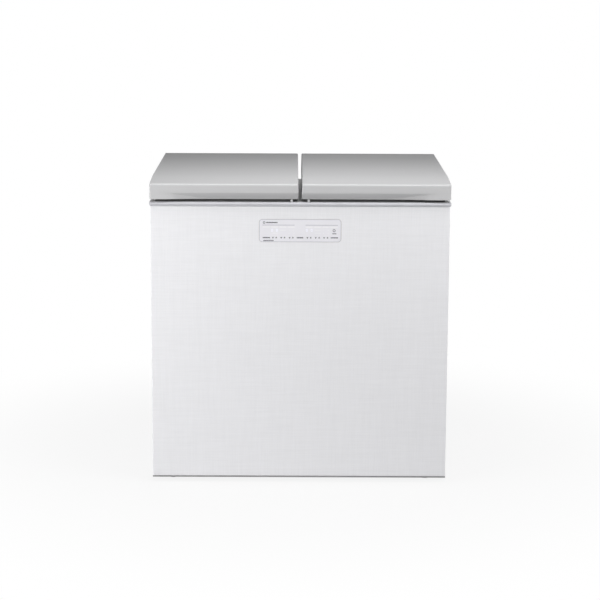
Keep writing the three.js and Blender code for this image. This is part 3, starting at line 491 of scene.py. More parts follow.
def bent(corners, radius, steps=6):
    # a route with its corners rounded off
    points = [Vector(c) for c in corners]
    route = [points[0]]
    for before, corner, after in zip(points, points[1:], points[2:]):
        reach = min(radius, (before - corner).length * 0.49, (after - corner).length * 0.49)
        start = corner + (before - corner).normalized() * reach
        end = corner + (after - corner).normalized() * reach
        for i in range(steps + 1):
            t = i / steps
            route.append(start * (1 - t) ** 2 + corner * 2 * t * (1 - t) + end * t * t)
    return route + [points[-1]]


def boxOf(node):
    # a CAD node's box as three pairs
    low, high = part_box(node)
    return [(a / mm, b / mm) for a, b in zip(low, high)]


def settle(mesh, name, finish, body, slotName, replaced=(), crease=30, edge=0):
    # a finished mesh becomes a piece of the refrigerator
    mesh.name = name
    mesh.materials.clear()
    mesh.materials.append(finish)
    mesh.polygons.foreach_set("use_smooth", [True] * len(mesh.polygons))
    piece = newObject(name, mesh)
    if edge:
        bevel = piece.modifiers.new("softEdges", "BEVEL")
        bevel.width, bevel.segments = edge * mm, 2
        bevel.limit_method, bevel.angle_limit = "ANGLE", radians(crease)
    else:
        mesh.set_sharp_from_angle(angle=radians(crease))
    piece.modifiers.new("evenNormals", "WEIGHTED_NORMAL").keep_sharp = True
    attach(piece, body)
    if replaced:
        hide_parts(*replaced)


def meshOf(shape, side):
    # closes a shape's seams, faces it outwards and brings it to metres
    bmesh.ops.remove_doubles(shape, verts=shape.verts, dist=0.004)
    bmesh.ops.scale(shape, vec=(side * mm, mm, mm), verts=shape.verts)
    bmesh.ops.recalc_face_normals(shape, faces=shape.faces)
    mesh = bpy.data.meshes.new("shape")
    shape.to_mesh(mesh)
    shape.free()
    return mesh


def makePiece(shape, name, slotName, replaced=(), body="cabinet", side=1, finish=None, **look):
    settle(meshOf(shape, side), name, finish or finishes[slotName], body, slotName, replaced, **look)


def plainMesh(piece):
    # what a piece's modifiers make of it, as a mesh of its own
    graph = bpy.context.evaluated_depsgraph_get()
    graph.update()
    mesh = bpy.data.meshes.new_from_object(piece.evaluated_get(graph))
    bpy.data.objects.remove(piece)
    return mesh


def softened(node, edge, crease=30, finish=None):
    # a merged copy of a CAD node with its sharp edges eased
    shape = bmesh.new()
    shape.from_mesh(nodes[node].data)
    bmesh.ops.remove_doubles(shape, verts=shape.verts, dist=0.00002)
    bmesh.ops.dissolve_limit(shape, angle_limit=radians(0.5), verts=shape.verts, edges=shape.edges)
    mesh = bpy.data.meshes.new(node)
    shape.to_mesh(mesh)
    shape.free()
    slotName, body = slotOf[node], nodes[node]["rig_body"]
    settle(mesh, node + "_shown", finish or finishes[slotName], body, slotName, [node], crease, edge)


sides = (("left", -1), ("right", 1))
print("shape tools ready")


# lids
lidSizes = {
    "crown": 8.5,  # drop of the front edge
    "crownRun": 150,
    "crownCurve": 1.25,
    "lean": (0.6, 1.0),  # of the inner side, at its foot and further up
    "leanRun": 60,
    "sheet": 2,
    "cornerRound": 4.5,
    "creaseRound": 5.5,
    "rearRound": 6,
    "sideRound": 3.4,
    "innerRound": 3,
    "roundSteps": 5,
    "gripRise": 20.6,
    "gripDepth": 12,
    "gripStart": 56,  # from the outer side
    "gripRamp": 155,  # length over which the grip deepens
    "gripLip": 1.4,
    "gripCurve": 1.3,
    "gripRun": 40,  # how far back the sides follow the grip
    "sillStart": 236,
    "sillSteps": 24,
    "sillLap": 4.2,  # over the pan's flange
    "sillLift": 0.05,
    "sillSheet": 1.2,
    "sillTuck": (0.2, 0.3),  # into the side sheet and the front one
    "hinges": (109.5, 356),
    "notchHalf": 29,
    "notchTop": 914,
    # lines of the mesh
    "fromInner": (0, 9, 26, 60),
    "across": (165, 190, 215, 240, 262, *range(280, 405, 9)),
    "fromOuter": (0, 9, 22, 40),
    "fromFront": (0, 9, 22, *range(40, 153, 14)),
    "deep": (-160, -70, 20, 110, 200, 290),
    "fromRear": (0, 9),
    "up": (921, 929, 937),
    "gripLines": 10,
}


def gripCut(sizes, x, outer, above):
    # depth of the finger grip at a place on the lid's front
    share = min(max((outer - sizes["gripStart"] - x) / sizes["gripRamp"], 0), 1)
    up = max(above - sizes["gripLip"], 0) / (sizes["gripRise"] - sizes["gripLip"])
    return sizes["gripDepth"] * max(min(1 - (1 - share) ** 2, 1 - up ** sizes["gripCurve"]), 0)


def clear(lines, least=1.2):
    # drops lines that stand too close to their neighbour
    kept = []
    for line in sorted(lines):
        if not kept or line - kept[-1] >= least or line == max(lines):
            kept.append(line)
    return kept


def makeLidCover(name, side, sizes):
    (x0, x1), (y0, y1), (z0, z1) = boxOf("right_lid_cover")
    half, notchTop, hinges = sizes["notchHalf"], sizes["notchTop"], sizes["hinges"]
    lip, count = sizes["gripLip"], sizes["gripLines"]
    xs = [*sizes["across"], *(x0 + d for d in sizes["fromInner"]), *(x1 - d for d in sizes["fromOuter"])]
    xs = clear(xs + [x for spot in hinges for x in (spot, *about(spot, half))])
    ys = clear([*sizes["deep"], *(y0 + d for d in sizes["fromFront"]), *(y1 - d for d in sizes["fromRear"])])
    zs = [z0 + lip + (sizes["gripRise"] - lip) * i / count for i in range(count + 1)]
    zs = clear([z0, *zs, notchTop, *sizes["up"], z1])

    def place(x, y, z):
        inFront = max(0, 1 - (y - y0) / sizes["crownRun"])
        rise = max(0, (z - notchTop) / (z1 - notchTop))
        lean = sizes["lean"][0] + sizes["lean"][1] * (z - z0) / (z1 - z0)
        dip = gripCut(sizes, x, x1, z - z0) * max(0, 1 - (y - y0) / sizes["gripRun"])
        drop = sizes["crown"] * inFront ** sizes["crownCurve"] * rise
        return (x + lean * max(0, 1 - (x - x0) / sizes["leanRun"]), y + dip, z - drop)

    shape = bmesh.new()
    # depth of the finger grip at each corner of the front, which the lid's finish turns into painted shade
    paintedGripShade = shape.verts.layers.float.new("paintedGripShade")
    weights = shape.edges.layers.float.new("bevel_weight_edge")
    corners = {}

    def corner(key):
        if key not in corners:
            x, y, z = xs[key[0]], ys[key[1]], zs[key[2]]
            corners[key] = shape.verts.new(place(x, y, z))
            corners[key][paintedGripShade] = gripCut(sizes, x, x1, z - z0) / sizes["gripDepth"] if y == y0 else 0
        return corners[key]

    def face(*keys):
        shape.faces.new([corner(key) for key in keys])

    a, b, c = ends = (len(xs) - 1, len(ys) - 1, len(zs) - 1)
    for i in range(a):
        for j in range(b):
            face((i, j, c), (i + 1, j, c), (i + 1, j + 1, c), (i, j + 1, c))
        for k in range(c):
            face((i, 0, k), (i + 1, 0, k), (i + 1, 0, k + 1), (i, 0, k + 1))
            here = middle(xs[i:i + 2])
            if zs[k] >= notchTop or all(abs(here - spot) >= half for spot in hinges):
                face((i, b, k), (i, b, k + 1), (i + 1, b, k + 1), (i + 1, b, k))
    for j in range(b):
        for k in range(c):
            face((0, j, k), (0, j, k + 1), (0, j + 1, k + 1), (0, j + 1, k))
            face((a, j, k), (a, j + 1, k), (a, j + 1, k + 1), (a, j, k + 1))

    # each kind of edge gets its own round
    keyOf = {vert: key for key, vert in corners.items()}
    widest = max(sizes["cornerRound"], sizes["creaseRound"], sizes["rearRound"])
    for edge in shape.edges:
        one, other = (keyOf[vert] for vert in edge.verts)
        atSide, atEnd, _ = (m == n and m in (0, last) for m, n, last in zip(one, other, ends))
        atTop = one[2] == other[2] == c
        if atSide and atEnd:
            edge[weights] = (sizes["cornerRound"] if one[0] else sizes["innerRound"]) / widest
        elif atEnd and atTop:
            edge[weights] = (sizes["rearRound"] if one[1] else sizes["creaseRound"]) / widest
        elif atSide and atTop:
            edge[weights] = sizes["sideRound"] / widest
    rough = newObject("rough", meshOf(shape, side))
    bevel = rough.modifiers.new("rounds", "BEVEL")
    bevel.limit_method, bevel.width, bevel.segments = "WEIGHT", widest * mm, sizes["roundSteps"]
    wall = rough.modifiers.new("wall", "SOLIDIFY")
    wall.thickness, wall.offset, wall.use_even_offset = sizes["sheet"] * mm, -1, True
    mesh = plainMesh(rough)
    settle(mesh, f"{name}_lid_skin", finishes["lid"], f"{name}_lid", "lid", [f"{name}_lid_cover"], 24)


def makeLidSill(name, side, sizes):
    # closes the underside between the front sheet and the pan, where the grip fades out
    (_, x1), (y0, _), (z0, _) = boxOf("right_lid_cover")
    _, (panFront, _), (_, panTop) = boxOf("right_lid_liner")
    tuckSide, tuckFront = sizes["sillTuck"]
    start, end, steps = sizes["sillStart"], x1 - sizes["sheet"] + tuckSide, sizes["sillSteps"]
    front, rear = y0 + sizes["sheet"] - tuckFront, panFront + sizes["sillLap"]
    line = [start + (end - start) * i / steps for i in range(steps + 1)]
    outline = [(x, front + gripCut(sizes, x, x1, panTop - z0)) for x in line] + [(end, rear), (start, rear)]
    low = panTop + sizes["sillLift"]
    shape = bmesh.new()
    plate(shape, outline, flat, (low, low + sizes["sillSheet"]))
    makePiece(shape, f"{name}_lid_sill", "lid", (), f"{name}_lid", side)


linerSizes = {
    "sheet": 2,
    "flangeRound": 3,
    "fillet": 5,
    "plug": ((38, 392.5), (-312.5, 298)),
    "plugRound": 24,
    "draft": 1.5,
    "border": 34,  # width of the raised border round the pan's field
    "recess": 7,
    "step": 4,  # round between the field and its border
    "ribs": 4,
    "ribHalf": 11,
    "ribEnd": 30,
    "rib": ((5.5, -3.2), (4.2, -3), (2.6, -2), (0.6, -0.2), (0, 0.4)),  # inset, height over the field
    "endStrip": 1.2,
    "hinges": (109.5, 356),
    "leafHalf": 21,
    "leafTop": 900.4,
    "gripClear": 23,  # up to here the foam stays further off the front
    "foamClear": (15, 1),
}


def makeLidLiner(name, side, sizes):
    (x0, x1), (y0, y1), (z0, z1) = boxOf("right_lid_liner")
    fx, fy, fz = boxOf("right_lid_foam")
    px, py = sizes["plug"]
    sheet, fillet, draft = sizes["sheet"], sizes["fillet"], sizes["draft"]
    border, field, low, body = sizes["border"], z0 + sizes["recess"], z1 - sheet, f"{name}_lid"

    def ring(inset, z, less=0):
        # round the plug, with corners less round by so much
        return roundedLoop(px, py, inset, sizes["plugRound"] - less, flat(z))

    def rim(inset, z):
        return roundedLoop((x0, x1), (y0, y1), inset, sizes["flangeRound"], flat(z))

    # from the field over the border and the fillet to the flange, then back inside
    loops = [ring(border + 2 + i, field - h, 12) for i, h in edgeRound(sizes["step"], 4)]
    loops += [ring(border + 0.8, z0 + 1.2, 9), ring(border - 0.4, z0 + 0.3, 8), ring(border - 2, z0, 8)]
    loops += [ring(fillet + 1.5 + draft, z0, 4)]
    loops += [ring(draft + i, z0 + h, 3) for i, h in edgeRound(fillet, 5)[1:]]
    loops += [ring(0.2, low - 3), ring(-0.6, low - 1), ring(-3, low, -2)]
    loops += [rim(3, low), rim(0.6, low), rim(0, low + 0.6), rim(0, z1 - 0.4), rim(0.4, z1)]
    loops += [ring(sheet - 1, z1, 1), ring(sheet, z1 - 2, 2), ring(sheet + 1.5, field + 5, 5)]
    loops += [ring(fillet + 4, field + sheet, 8)]
    shape = bmesh.new()
    skin(shape, loops)
    # pressed ribs across the field
    half, end = sizes["ribHalf"], border + sizes["ribEnd"]
    pitch = (py[1] - py[0] - 2 * border) / sizes["ribs"]
    for rib in range(sizes["ribs"]):
        y = py[0] + border + pitch * (rib + 0.5)
        along, across = within(px, end), about(y, half)
        skin(shape, [roundedLoop(along, across, i, half - i, flat(field + h), 6) for i, h in sizes["rib"]])
    makePiece(shape, f"{name}_lid_pan", "white_plastic", [f"{name}_lid_liner"], body, side, crease=40)

    # strip that closes the foam's rear end, notched over the hinge leaves
    top, half, over = fz[1] - 0.4, sizes["leafHalf"], sizes["leafTop"]
    outline = [(x0, low)]
    for spot in sizes["hinges"]:
        near, far = about(spot, half)
        outline += [(near, low), (near, over), (far, over), (far, low)]
    outline += [(x1, low), (x1, top), (x0 + 2, top)]
    rear = y1 + 0.1
    shape = bmesh.new()
    plate(shape, outline, upright, (rear, rear + sizes["endStrip"]))
    makePiece(shape, f"{name}_lid_end_strip", "white_plastic", (), body, side)

    # foam between the pan and the cover
    clearOfGrip, crown = z1 + sizes["gripClear"], fz[1]
    loops = [ring(sheet + 9, field + 3, 8), ring(sheet + 3, field + 8, 6), ring(sheet + 1, z1 - 1, 4)]
    rows = [(0.5, z1 + 0.2), (0, z1 + 1), (0, clearOfGrip), (0, crown - 12), (3, crown - 8), (9, crown - 6.5)]
    for inset, z in rows:
        front = fy[0] + sizes["foamClear"][z >= clearOfGrip]
        loops.append(roundedLoop(fx, (front, fy[1]), inset, 6, flat(z)))
    shape = bmesh.new()
    skin(shape, loops)
    makePiece(shape, f"{name}_lid_core", "foam", [f"{name}_lid_foam"], body, side, crease=40)


# inset from the outer edge, height above the deck side; the inner half mirrors it
gasketProfile = [
    (1.4, 0.1), (0.5, 0.8), (0.3, 2.3), (1.3, 3.2), (2.9, 3.9),
    (1.1, 5), (1.1, 6), (2.9, 6.7), (0.1, 7.2), (0.1, 8.4),
]
gasketProfile += [(11 - inset, height) for inset, height in gasketProfile[::-1]]


def makeGasket(name, side, profile):
    x, y, (z0, z1) = boxOf("right_lid_gasket")
    shape = bmesh.new()
    skin(shape, [roundedLoop(x, y, inset, 8, flat(min(z0 + h, z1)), 6) for inset, h in profile], "joined")
    makePiece(shape, f"{name}_lid_seal", "seal", [f"{name}_lid_gasket"], f"{name}_lid", side, crease=50)


for name, side in sides:
    makeLidCover(name, side, lidSizes)
    makeLidSill(name, side, lidSizes)
    makeLidLiner(name, side, linerSizes)
    makeGasket(name, side, gasketProfile)
print("lids, liners and seals made")


# front panel, trims and deck
panelSizes = {
    "round": 2.2,
    "sheet": 1.5,
    "cornerRound": 3.6,
    "windowGap": 0.3,
    "windowRound": 10,
    "holeEdge": 0.25,
    "outline": (0.5, 1.5),  # insets of the printed outline
    "ink": 0.08,
}


def makeFrontPanel(sizes):
    x, (y0, y1), z = boxOf("front_panel")
    wx, _, wz = boxOf("control_window")
    r, sheet, edge = sizes["round"], sizes["sheet"], sizes["holeEdge"]
    inside = y0 + sheet

    def ring(inset, y):
        return roundedLoop(x, z, inset, sizes["cornerRound"], upright(y), 4)

    def hole(grow, y):
        grow += sizes["windowGap"]
        return roundedLoop(wx, wz, -grow, sizes["windowRound"] + grow, upright(y))

    fold = [ring(inset, y0 + depth) for inset, depth in edgeRound(r, 6)]
    shape = bmesh.new()
    skin(shape, fold + [ring(0, y1), ring(sheet, y1), ring(sheet, inside)], "open")
    skin(shape, [hole(edge, y0), hole(0, y0 + edge), hole(0, inside)], "open")
    pane(shape, ring(r, y0), [hole(edge, y0)])
    pane(shape, ring(sheet, inside), [hole(0, inside)])
    makePiece(shape, "front_sheet", "panel", ["front_panel"], crease=50)


def makeWindow(sizes):
    x, (y0, y1), z = boxOf("control_window")

    def rings(rows):
        return [roundedLoop(x, z, inset, sizes["windowRound"] - inset, upright(y), 10) for inset, y in rows]

    shape = bmesh.new()
    skin(shape, rings([(0.5, y0), (0.15, y0 + 0.15), (0, y0 + 0.5), (0, y1 - 0.1), (0.1, y1)]))
    makePiece(shape, "window_sheet", "window", ["control_window"], crease=50)
    # thin grey outline just inside the edge
    (outer, inner), front = sizes["outline"], y0 - sizes["ink"]
    shape = bmesh.new()
    skin(shape, rings([(outer, y0), (outer, front), (inner, front), (inner, y0)]), "joined")
    makePiece(shape, "window_outline", "window", finish=printPale)


trimSizes = {
    "cornerRound": 10,
    # inset from the widest outline, height: a dark under face, a bead and a light top
    "profile": [
        (2.8, 0), (2.4, 0.25), (0.6, 4.7), (0.15, 5.3), (0, 6.2), (0.15, 7.2), (0.8, 8.9),
        (1.9, 10.6), (3.2, 11.7), (4.6, 12.3), (6, 12.5), (8, 12.5), (8, 0),
    ],
}


def makeTrim(sizes):
    # the profile drawn along the front and a little way round each corner
    (x0, x1), (y0, y1), (z0, z1) = boxOf("front_trim")
    corner, profile = sizes["cornerRound"], sizes["profile"]
    rise = (z1 - z0) / max(height for _, height in profile)
    rows = []
    for inset, height in profile:
        row = [(x0 + inset, y1)]
        for start, cx in ((180, x0 + corner), (270, x1 - corner)):
            for t in quarterTurn(8):
                angle = radians(start) + t
                row.append((cx + (corner - inset) * cos(angle), y0 + corner + (corner - inset) * sin(angle)))
        row.append((x1 - inset, y1))
        rows.append([(x, min(y, y1), z0 + height * rise) for x, y in row])
    shape = bmesh.new()
    verts = [[shape.verts.new(point) for point in row] for row in rows]
    for lower, upper in zip(verts, verts[1:] + verts[:1]):
        for i in range(len(lower) - 1):
            shape.faces.new((lower[i], lower[i + 1], upper[i + 1], upper[i]))
    shape.faces.new([row[0] for row in verts])
    shape.faces.new([row[-1] for row in verts][::-1])
    makePiece(shape, "trim_bead", "trim", ["front_trim"], crease=50)


beadSizes = {
    "spots": (-345, -207, -69, 69, 207, 345),
    "half": 9,
    "span": (352, 838),
    "profile": [(0, -0.3), (0, 0.05), (1.6, 0.3), (3.6, 1.5), (5, 2), (6.6, 2.2)],  # inset, height
}


def makeRearBeads(sizes):
    # stiffening beads pressed into the rear sheet
    y1, half = boxOf("cabinet_shell")[1][1], sizes["half"]
    shape = bmesh.new()
    for x in sizes["spots"]:
        across, up = about(x, half), sizes["span"]
        skin(shape, [roundedLoop(across, up, i, half - i, upright(y1 + h)) for i, h in sizes["profile"]])
    makePiece(shape, "rear_beads", "side", crease=60)


bumperProfile = [(2.6, 0), (4, 0.6), (4, 5.9), (3.4, 7.2), (2, 7.8), (0, 7.9)]


def makeBumper(name, profile):
    x, y, z = boxOf(name)
    shape = bmesh.new()
    turned(shape, profile, "z", (middle(x), middle(y), z[0]), 28)
    makePiece(shape, f"{name}_pad", "deck", [name], crease=50)


makeFrontPanel(panelSizes)
makeWindow(panelSizes)
makeTrim(trimSizes)
softened("top_deck", 0.8, 35)
softened("bottom_trim", 0.6, finish=footTrim)
softened("cabinet_shell", 0.8)
makeRearBeads(beadSizes)
for name, side in sides:
    makeBumper(f"{name}_bumper", bumperProfile)
print("front and deck made")


# small repeated things, made by Geometry Nodes and turned into plain meshes
def newTree(name, inputs):
    tree = bpy.data.node_groups.new(name, "GeometryNodeTree")
    for way in ("INPUT", "OUTPUT"):
        tree.interface.new_socket("Geometry", in_out=way, socket_type="NodeSocketGeometry")
    for label, kind in {**inputs, "Material": "Material"}.items():
        tree.interface.new_socket(label, in_out="INPUT", socket_type=f"NodeSocket{kind}")
    return tree, tree.nodes.new("NodeGroupInput").outputs


def ofPoints(tree, label):
    # a vector that each point carries
    return wired(tree, "GeometryNodeInputNamedAttribute", {"Name": label}, data_type="FLOAT_VECTOR")


def onPoints(tree, given, mesh, **values):
    # the mesh on each point, realised and given its material, as the export needs
    copies = {"Points": given["Geometry"], "Instance": mesh, **values}
    spots = wired(tree, "GeometryNodeInstanceOnPoints", copies)
    whole = wired(tree, "GeometryNodeRealizeInstances", {"Geometry": spots})
    paint = wired(tree, "GeometryNodeSetMaterial", {"Geometry": whole, "Material": given["Material"]})
    feed(tree.nodes.new("NodeGroupOutput"), {"Geometry": paint})
    return tree


def grown(tree, points, values, **attributes):
    # runs a tree on a cloud of points and hands back the mesh
    cloud = bpy.data.meshes.new("cloud")
    cloud.from_pydata([tuple(c * mm for c in p) for p in points], [], [])
    for label, rows in attributes.items():
        layer = cloud.attributes.new(label, "FLOAT_VECTOR", "POINT")
        layer.data.foreach_set("vector", [c for row in rows for c in row])
    holder = newObject("cloud", cloud)
    modifier = holder.modifiers.new("grow", "NODES")
    modifier.node_group = tree
    for item in tree.interface.items_tree:
        if item.in_out == "INPUT" and item.name in values:
            modifier[item.identifier] = values[item.name]
    return plainMesh(holder)


def markTree():
    # a flat printed mark on each point, as wide and high as the point's size says
    inputs = {"Corners": "Int", "Width": "Float", "Turn": "Float", "Thickness": "Float"}
    tree, given = newTree("printedMarks", inputs)
    outline = {"Vertices": given["Corners"], "Radius": given["Width"], "Depth": given["Thickness"]}
    disc = wired(tree, "GeometryNodeMeshCylinder", outline)
    turn = wired(tree, "ShaderNodeCombineXYZ", {"Z": given["Turn"]})
    for rotation in (turn, (radians(90), 0, 0)):
        disc = wired(tree, "GeometryNodeTransform", {"Geometry": disc, "Rotation": rotation})
    return onPoints(tree, given, disc, Scale=ofPoints(tree, "size"))


screwSizes = {"corners": 24, "taper": 0.72, "slot": 1.05, "lift": 0.95, "recess": 0.28}  # shares of the head


def screwTree(sizes):
    # a pan-head screw with a cross recess on each point, facing the way the point says
    inputs = {"Head Radius": "Float", "Head Height": "Float", "Recess": "Float"}
    tree, given = newTree("screws", inputs)
    radius, height, recess = (given[label] for label in inputs)

    def scaled(socket, factor):
        return wired(tree, "ShaderNodeMath", {0: socket, 1: factor}, operation="MULTIPLY")

    def joined(**values):
        return wired(tree, "ShaderNodeCombineXYZ", values)

    cone = {"Vertices": sizes["corners"], "Side Segments": 2, "Depth": height}
    cone |= {"Radius Top": scaled(radius, sizes["taper"]), "Radius Bottom": radius}
    head = wired(tree, "GeometryNodeMeshCone", cone)
    carved = wired(tree, "GeometryNodeMeshBoolean", {"Mesh 1": head}, operation="DIFFERENCE")
    for along, across in ("XY", "YX"):
        size = joined(**{along: scaled(radius, sizes["slot"]), across: recess, "Z": height})
        bar = wired(tree, "GeometryNodeMeshCube", {"Size": size})
        raised = {"Geometry": bar, "Translation": joined(Z=scaled(height, sizes["lift"]))}
        feed(carved.node, {"Mesh 2": wired(tree, "GeometryNodeTransform", raised)})
    facing = {"Vector": ofPoints(tree, "facing")}
    turn = wired(tree, "FunctionNodeAlignRotationToVector", facing, axis="Z")
    return onPoints(tree, given, carved, Rotation=turn)


def plateTree():
    # thin plates side by side along one axis
    tree, given = newTree("plates", {"Count": "Int", "Step": "Vector", "Plate": "Vector"})
    row = wired(tree, "GeometryNodeMeshLine", {"Count": given["Count"], "Offset": given["Step"]})
    fin = wired(tree, "GeometryNodeMeshCube", {"Size": given["Plate"]})
    stack = wired(tree, "GeometryNodeInstanceOnPoints", {"Points": row, "Instance": fin})
    return onPoints(tree, given, stack)


marks, screws, plates = markTree(), screwTree(screwSizes), plateTree()


def makeMarks(name, rows, y, finish, thickness=0.1, corners=4, turn=45):
    # rows of x, z, width, height on an upright face at y
    reach = 0.70711 if corners == 4 else 0.5  # of a corner from the middle, for a width of 1
    values = {"Corners": corners, "Width": reach, "Turn": radians(turn), "Thickness": thickness * mm}
    spots = [(x, y - thickness / 2, z) for x, z, _, _ in rows]
    size = [(w * mm, 1, h * mm) for _, _, w, h in rows]
    settle(grown(marks, spots, {**values, "Material": finish}, size=size), name, finish, "cabinet", "window")


def makeScrews(name, spots, facing, head=4.0, height=1.9):
    values = {"Head Radius": head * mm, "Head Height": height * mm, "Material": zincScrew}
    values["Recess"] = head * screwSizes["recess"] * mm
    mesh = grown(screws, spots, values, facing=[facing] * len(spots))
    settle(mesh, name, zincScrew, "cabinet", "steel")


# marks on the control window: x and z from its middle, width, height
windowMarks = {
    "rules": [(-66.8, 17.1, 98.8, 1.3), (66, 17.1, 98.8, 1.3)],
    "whites": [  # x and width
        (-103.6, 21.5), (-78.3, 22.4), (-53, 20.9), (-27.5, 22),
        (28.1, 21.2), (53.1, 21.5), (78.4, 20.5), (103.7, 23.3),
    ],
    "white": (11.1, 2),  # their height and thickness
    "dashes": [
        (-52.5, 1.1, 18.7, 1.5), (-32.4, 1.1, 5.5, 1.5), (-21.2, 1.1, 4.6, 1.5), (53.5, 1.1, 19, 1.5),
        (71.2, 1.1, 4.6, 1.5), (85.5, 1.1, 6.4, 1.5), (-77.8, -8, 19.6, 1.5), (53.2, -8, 19.6, 1.5),
    ],
    "dashPitch": 3,
    "figures": [-86.1, -71.1, 20.6, 35.3],
    "nought": [(0, 4.4, 4.6, 1.1), (0, -2.2, 4.6, 1.1), (-1.9, 1.1, 1.1, 6.6), (1.9, 1.1, 1.1, 6.6)],
    "keys": [(-83.3, -73.2), (-57.9, -47.5), (-32.1, -22), (22.5, 32.6), (47.9, 58.3), (73.4, 84.1)],
    "keyHeight": -21.8,
    "keySize": 6.6,
    "labels": [
        (-103.6, -21.8, 23.3, 3.6), (-0.4, -21.8, 21.2, 4), (104.7, -21.8, 23.3, 3.6),
        (-97, -30.8, 34.6, 2.8), (-86.7, 24.9, 35.6, 3.4), (104.7, -9.2, 14.1, 2.8),
    ],
    "labelPitch": 2.5,
    "strokes": (1.6, 2.1, 2.1),  # widths, in turn
    "rings": [(-110.3, 24.9, 7.4, 7.4), (104, 0.4, 8.6, 8.6)],
    "ringHeart": 0.64,  # share of the ring
    "ringCover": (0.1, 0.06),  # how far its pale heart lies before the face, thickness
    "lamps": [(-34.3, -8), (-18.9, -8), (71.5, -8), (86.2, -8)],
    "lampSize": 2.4,
}


def makeWindowMarks(sizes):
    x, (front, _), z = boxOf("control_window")

    def moved(rows):
        return [(middle(x) + across, middle(z) + up, w, h) for across, up, w, h in rows]

    def dotted(rows, pitch):
        # a label is a row of small upright strokes
        strokes = []
        for across, up, w, h in rows:
            count = int(w / pitch)
            for i in range(count):
                strokes.append((across + (i - (count - 1) / 2) * pitch, up, sizes["strokes"][i % 3], h))
        return strokes

    def printed(name, rows, finish, **look):
        makeMarks(f"window_{name}", moved(rows), front, finish, **look)

    keys, lamp, (top, bold) = sizes["keyHeight"], sizes["lampSize"], sizes["white"]
    noughts = [(at + dx, z, w, h) for at in sizes["figures"] for dx, z, w, h in sizes["nought"]]
    printed("rules", sizes["rules"], printPale)
    printed("whites", [(across, top, w, bold) for across, w in sizes["whites"]], printWhite)
    printed("figures", noughts, figureGlow)
    printed("dashes", dotted(sizes["dashes"], sizes["dashPitch"]), printWhite)
    printed("lamps", [(*spot, lamp, lamp) for spot in sizes["lamps"]], printWhite, corners=20)
    printed("labels", dotted(sizes["labels"], sizes["labelPitch"]), printInk)
    for name, which, turn in (("down", 0, -90), ("up", 1, 90)):
        rows = [(pair[which], keys, sizes["keySize"], sizes["keySize"]) for pair in sizes["keys"]]
        printed(f"{name}_keys", rows, printInk, corners=3, turn=turn)
    printed("rings", sizes["rings"], printInk, corners=24)
    (proud, thin), share = sizes["ringCover"], sizes["ringHeart"]
    hearts = moved([(across, up, w * share, h * share) for across, up, w, h in sizes["rings"]])
    makeMarks("window_ring_hearts", hearts, front - proud, finishes["window"], thin, corners=24)


makeWindowMarks(windowMarks)
print("window marked")


# wells with their storage tubs
tubSizes = {
    "wall": 2.5,
    "round": 24,
    "footRound": 8,
    "rim": 3,
    "rimHeight": 4,
    "ledge": 8.3,
    "beads": 4,
    "beadDepth": 1.2,
    "plain": (30, 40),  # under and above the beads
}


def makeTub(name, sizes):
    x, y, (z0, z1) = boxOf(name)
    rim, wall, foot, deep = sizes["rim"], sizes["wall"], sizes["footRound"], sizes["beadDepth"]
    ledge = z1 - sizes["ledge"]
    under, start = ledge - sizes["rimHeight"], z0 + sizes["plain"][0]
    pitch = (ledge - sizes["plain"][1] - start) / sizes["beads"]
    # inset of the wall and height, up the outside and down the inside
    rows = [(foot + 12, z0 + 1.5), (foot + 9, z0)]
    rows += [(inset, z0 + h) for inset, h in edgeRound(foot, 4)]
    for i in range(sizes["beads"]):
        z = start + pitch * (i + 0.5)
        rows += [(0, z - 5), (deep, z - 2), (deep, z + 2), (0, z + 5)]
    rows += [(0, under - 1), (0.5 - rim, under), (-rim, ledge - 3), (-rim, ledge - 0.6), (0.6 - rim, ledge)]
    rows += [(0.3, ledge), (0, ledge + 0.5), (0, z1 - 0.7), (0.7, z1), (wall - 0.7, z1), (wall, z1 - 0.7)]
    rows += [(wall, z0 + foot + 2), (wall + 2, z0 + 5), (wall + 7, z0 + wall + 0.6), (wall + 12, z0 + wall)]
    shape = bmesh.new()
    skin(shape, [roundedLoop(x, y, rim + inset, sizes["round"] - inset, flat(z)) for inset, z in rows])
    makePiece(shape, f"{name}_body", "tub", [name], crease=42)


tubLidSizes = {
    "round": (27, 3),  # of the corners, at the edge and at least
    "skirt": 2.5,
    "sunk": 3.2,
    "flaps": (0.28, 0.72),
    "flapHalf": 24,
    "flapDepth": (0.4, 1.6),  # in and out of the skirt
    "flapRound": 0.7,
}


def makeTubLid(name, sizes):
    x, y, (z0, z1) = boxOf(name)
    skirt, floor, half, (most, least) = sizes["skirt"], z1 - sizes["sunk"], sizes["flapHalf"], sizes["round"]
    rows = [(60, floor + 1.2), (57, floor + 1.2), (55, floor), (16.5, floor), (15.3, floor + 0.8)]
    rows += [(14.8, z1 - 0.5), (14, z1), (2.4, z1), (0.8, z1 - 0.8), (0, z1 - 2.6), (0, z0 + 0.5)]
    rows += [(0.5, z0), (skirt - 0.4, z0), (skirt, z0 + 0.4), (skirt, z0 + 8.3), (skirt + 10, z0 + 8.3)]
    shape = bmesh.new()
    skin(shape, [roundedLoop(x, y, inset, max(most - inset, least), flat(z)) for inset, z in rows])
    # latch flaps at the front and the back
    for edge, away in zip(y, (-1, 1)):
        for share in sizes["flaps"]:
            at, (inside, outside) = x[0] + (x[1] - x[0]) * share, sizes["flapDepth"]
            span = sorted((edge - away * inside, edge + away * outside))
            block(shape, about(at, half), span, (z0 + 0.6, z1 - 2.4), sizes["flapRound"])
    makePiece(shape, f"{name}_cap", "tub_lid", [name], crease=42)


for level in ("lower", "upper"):
    makeTub(f"{level}_tub", tubSizes)
    makeTubLid(f"{level}_tub_lid", tubLidSizes)
for name, side in sides:
    softened(f"{name}_liner", 0, 40)
print("wells and tubs made")


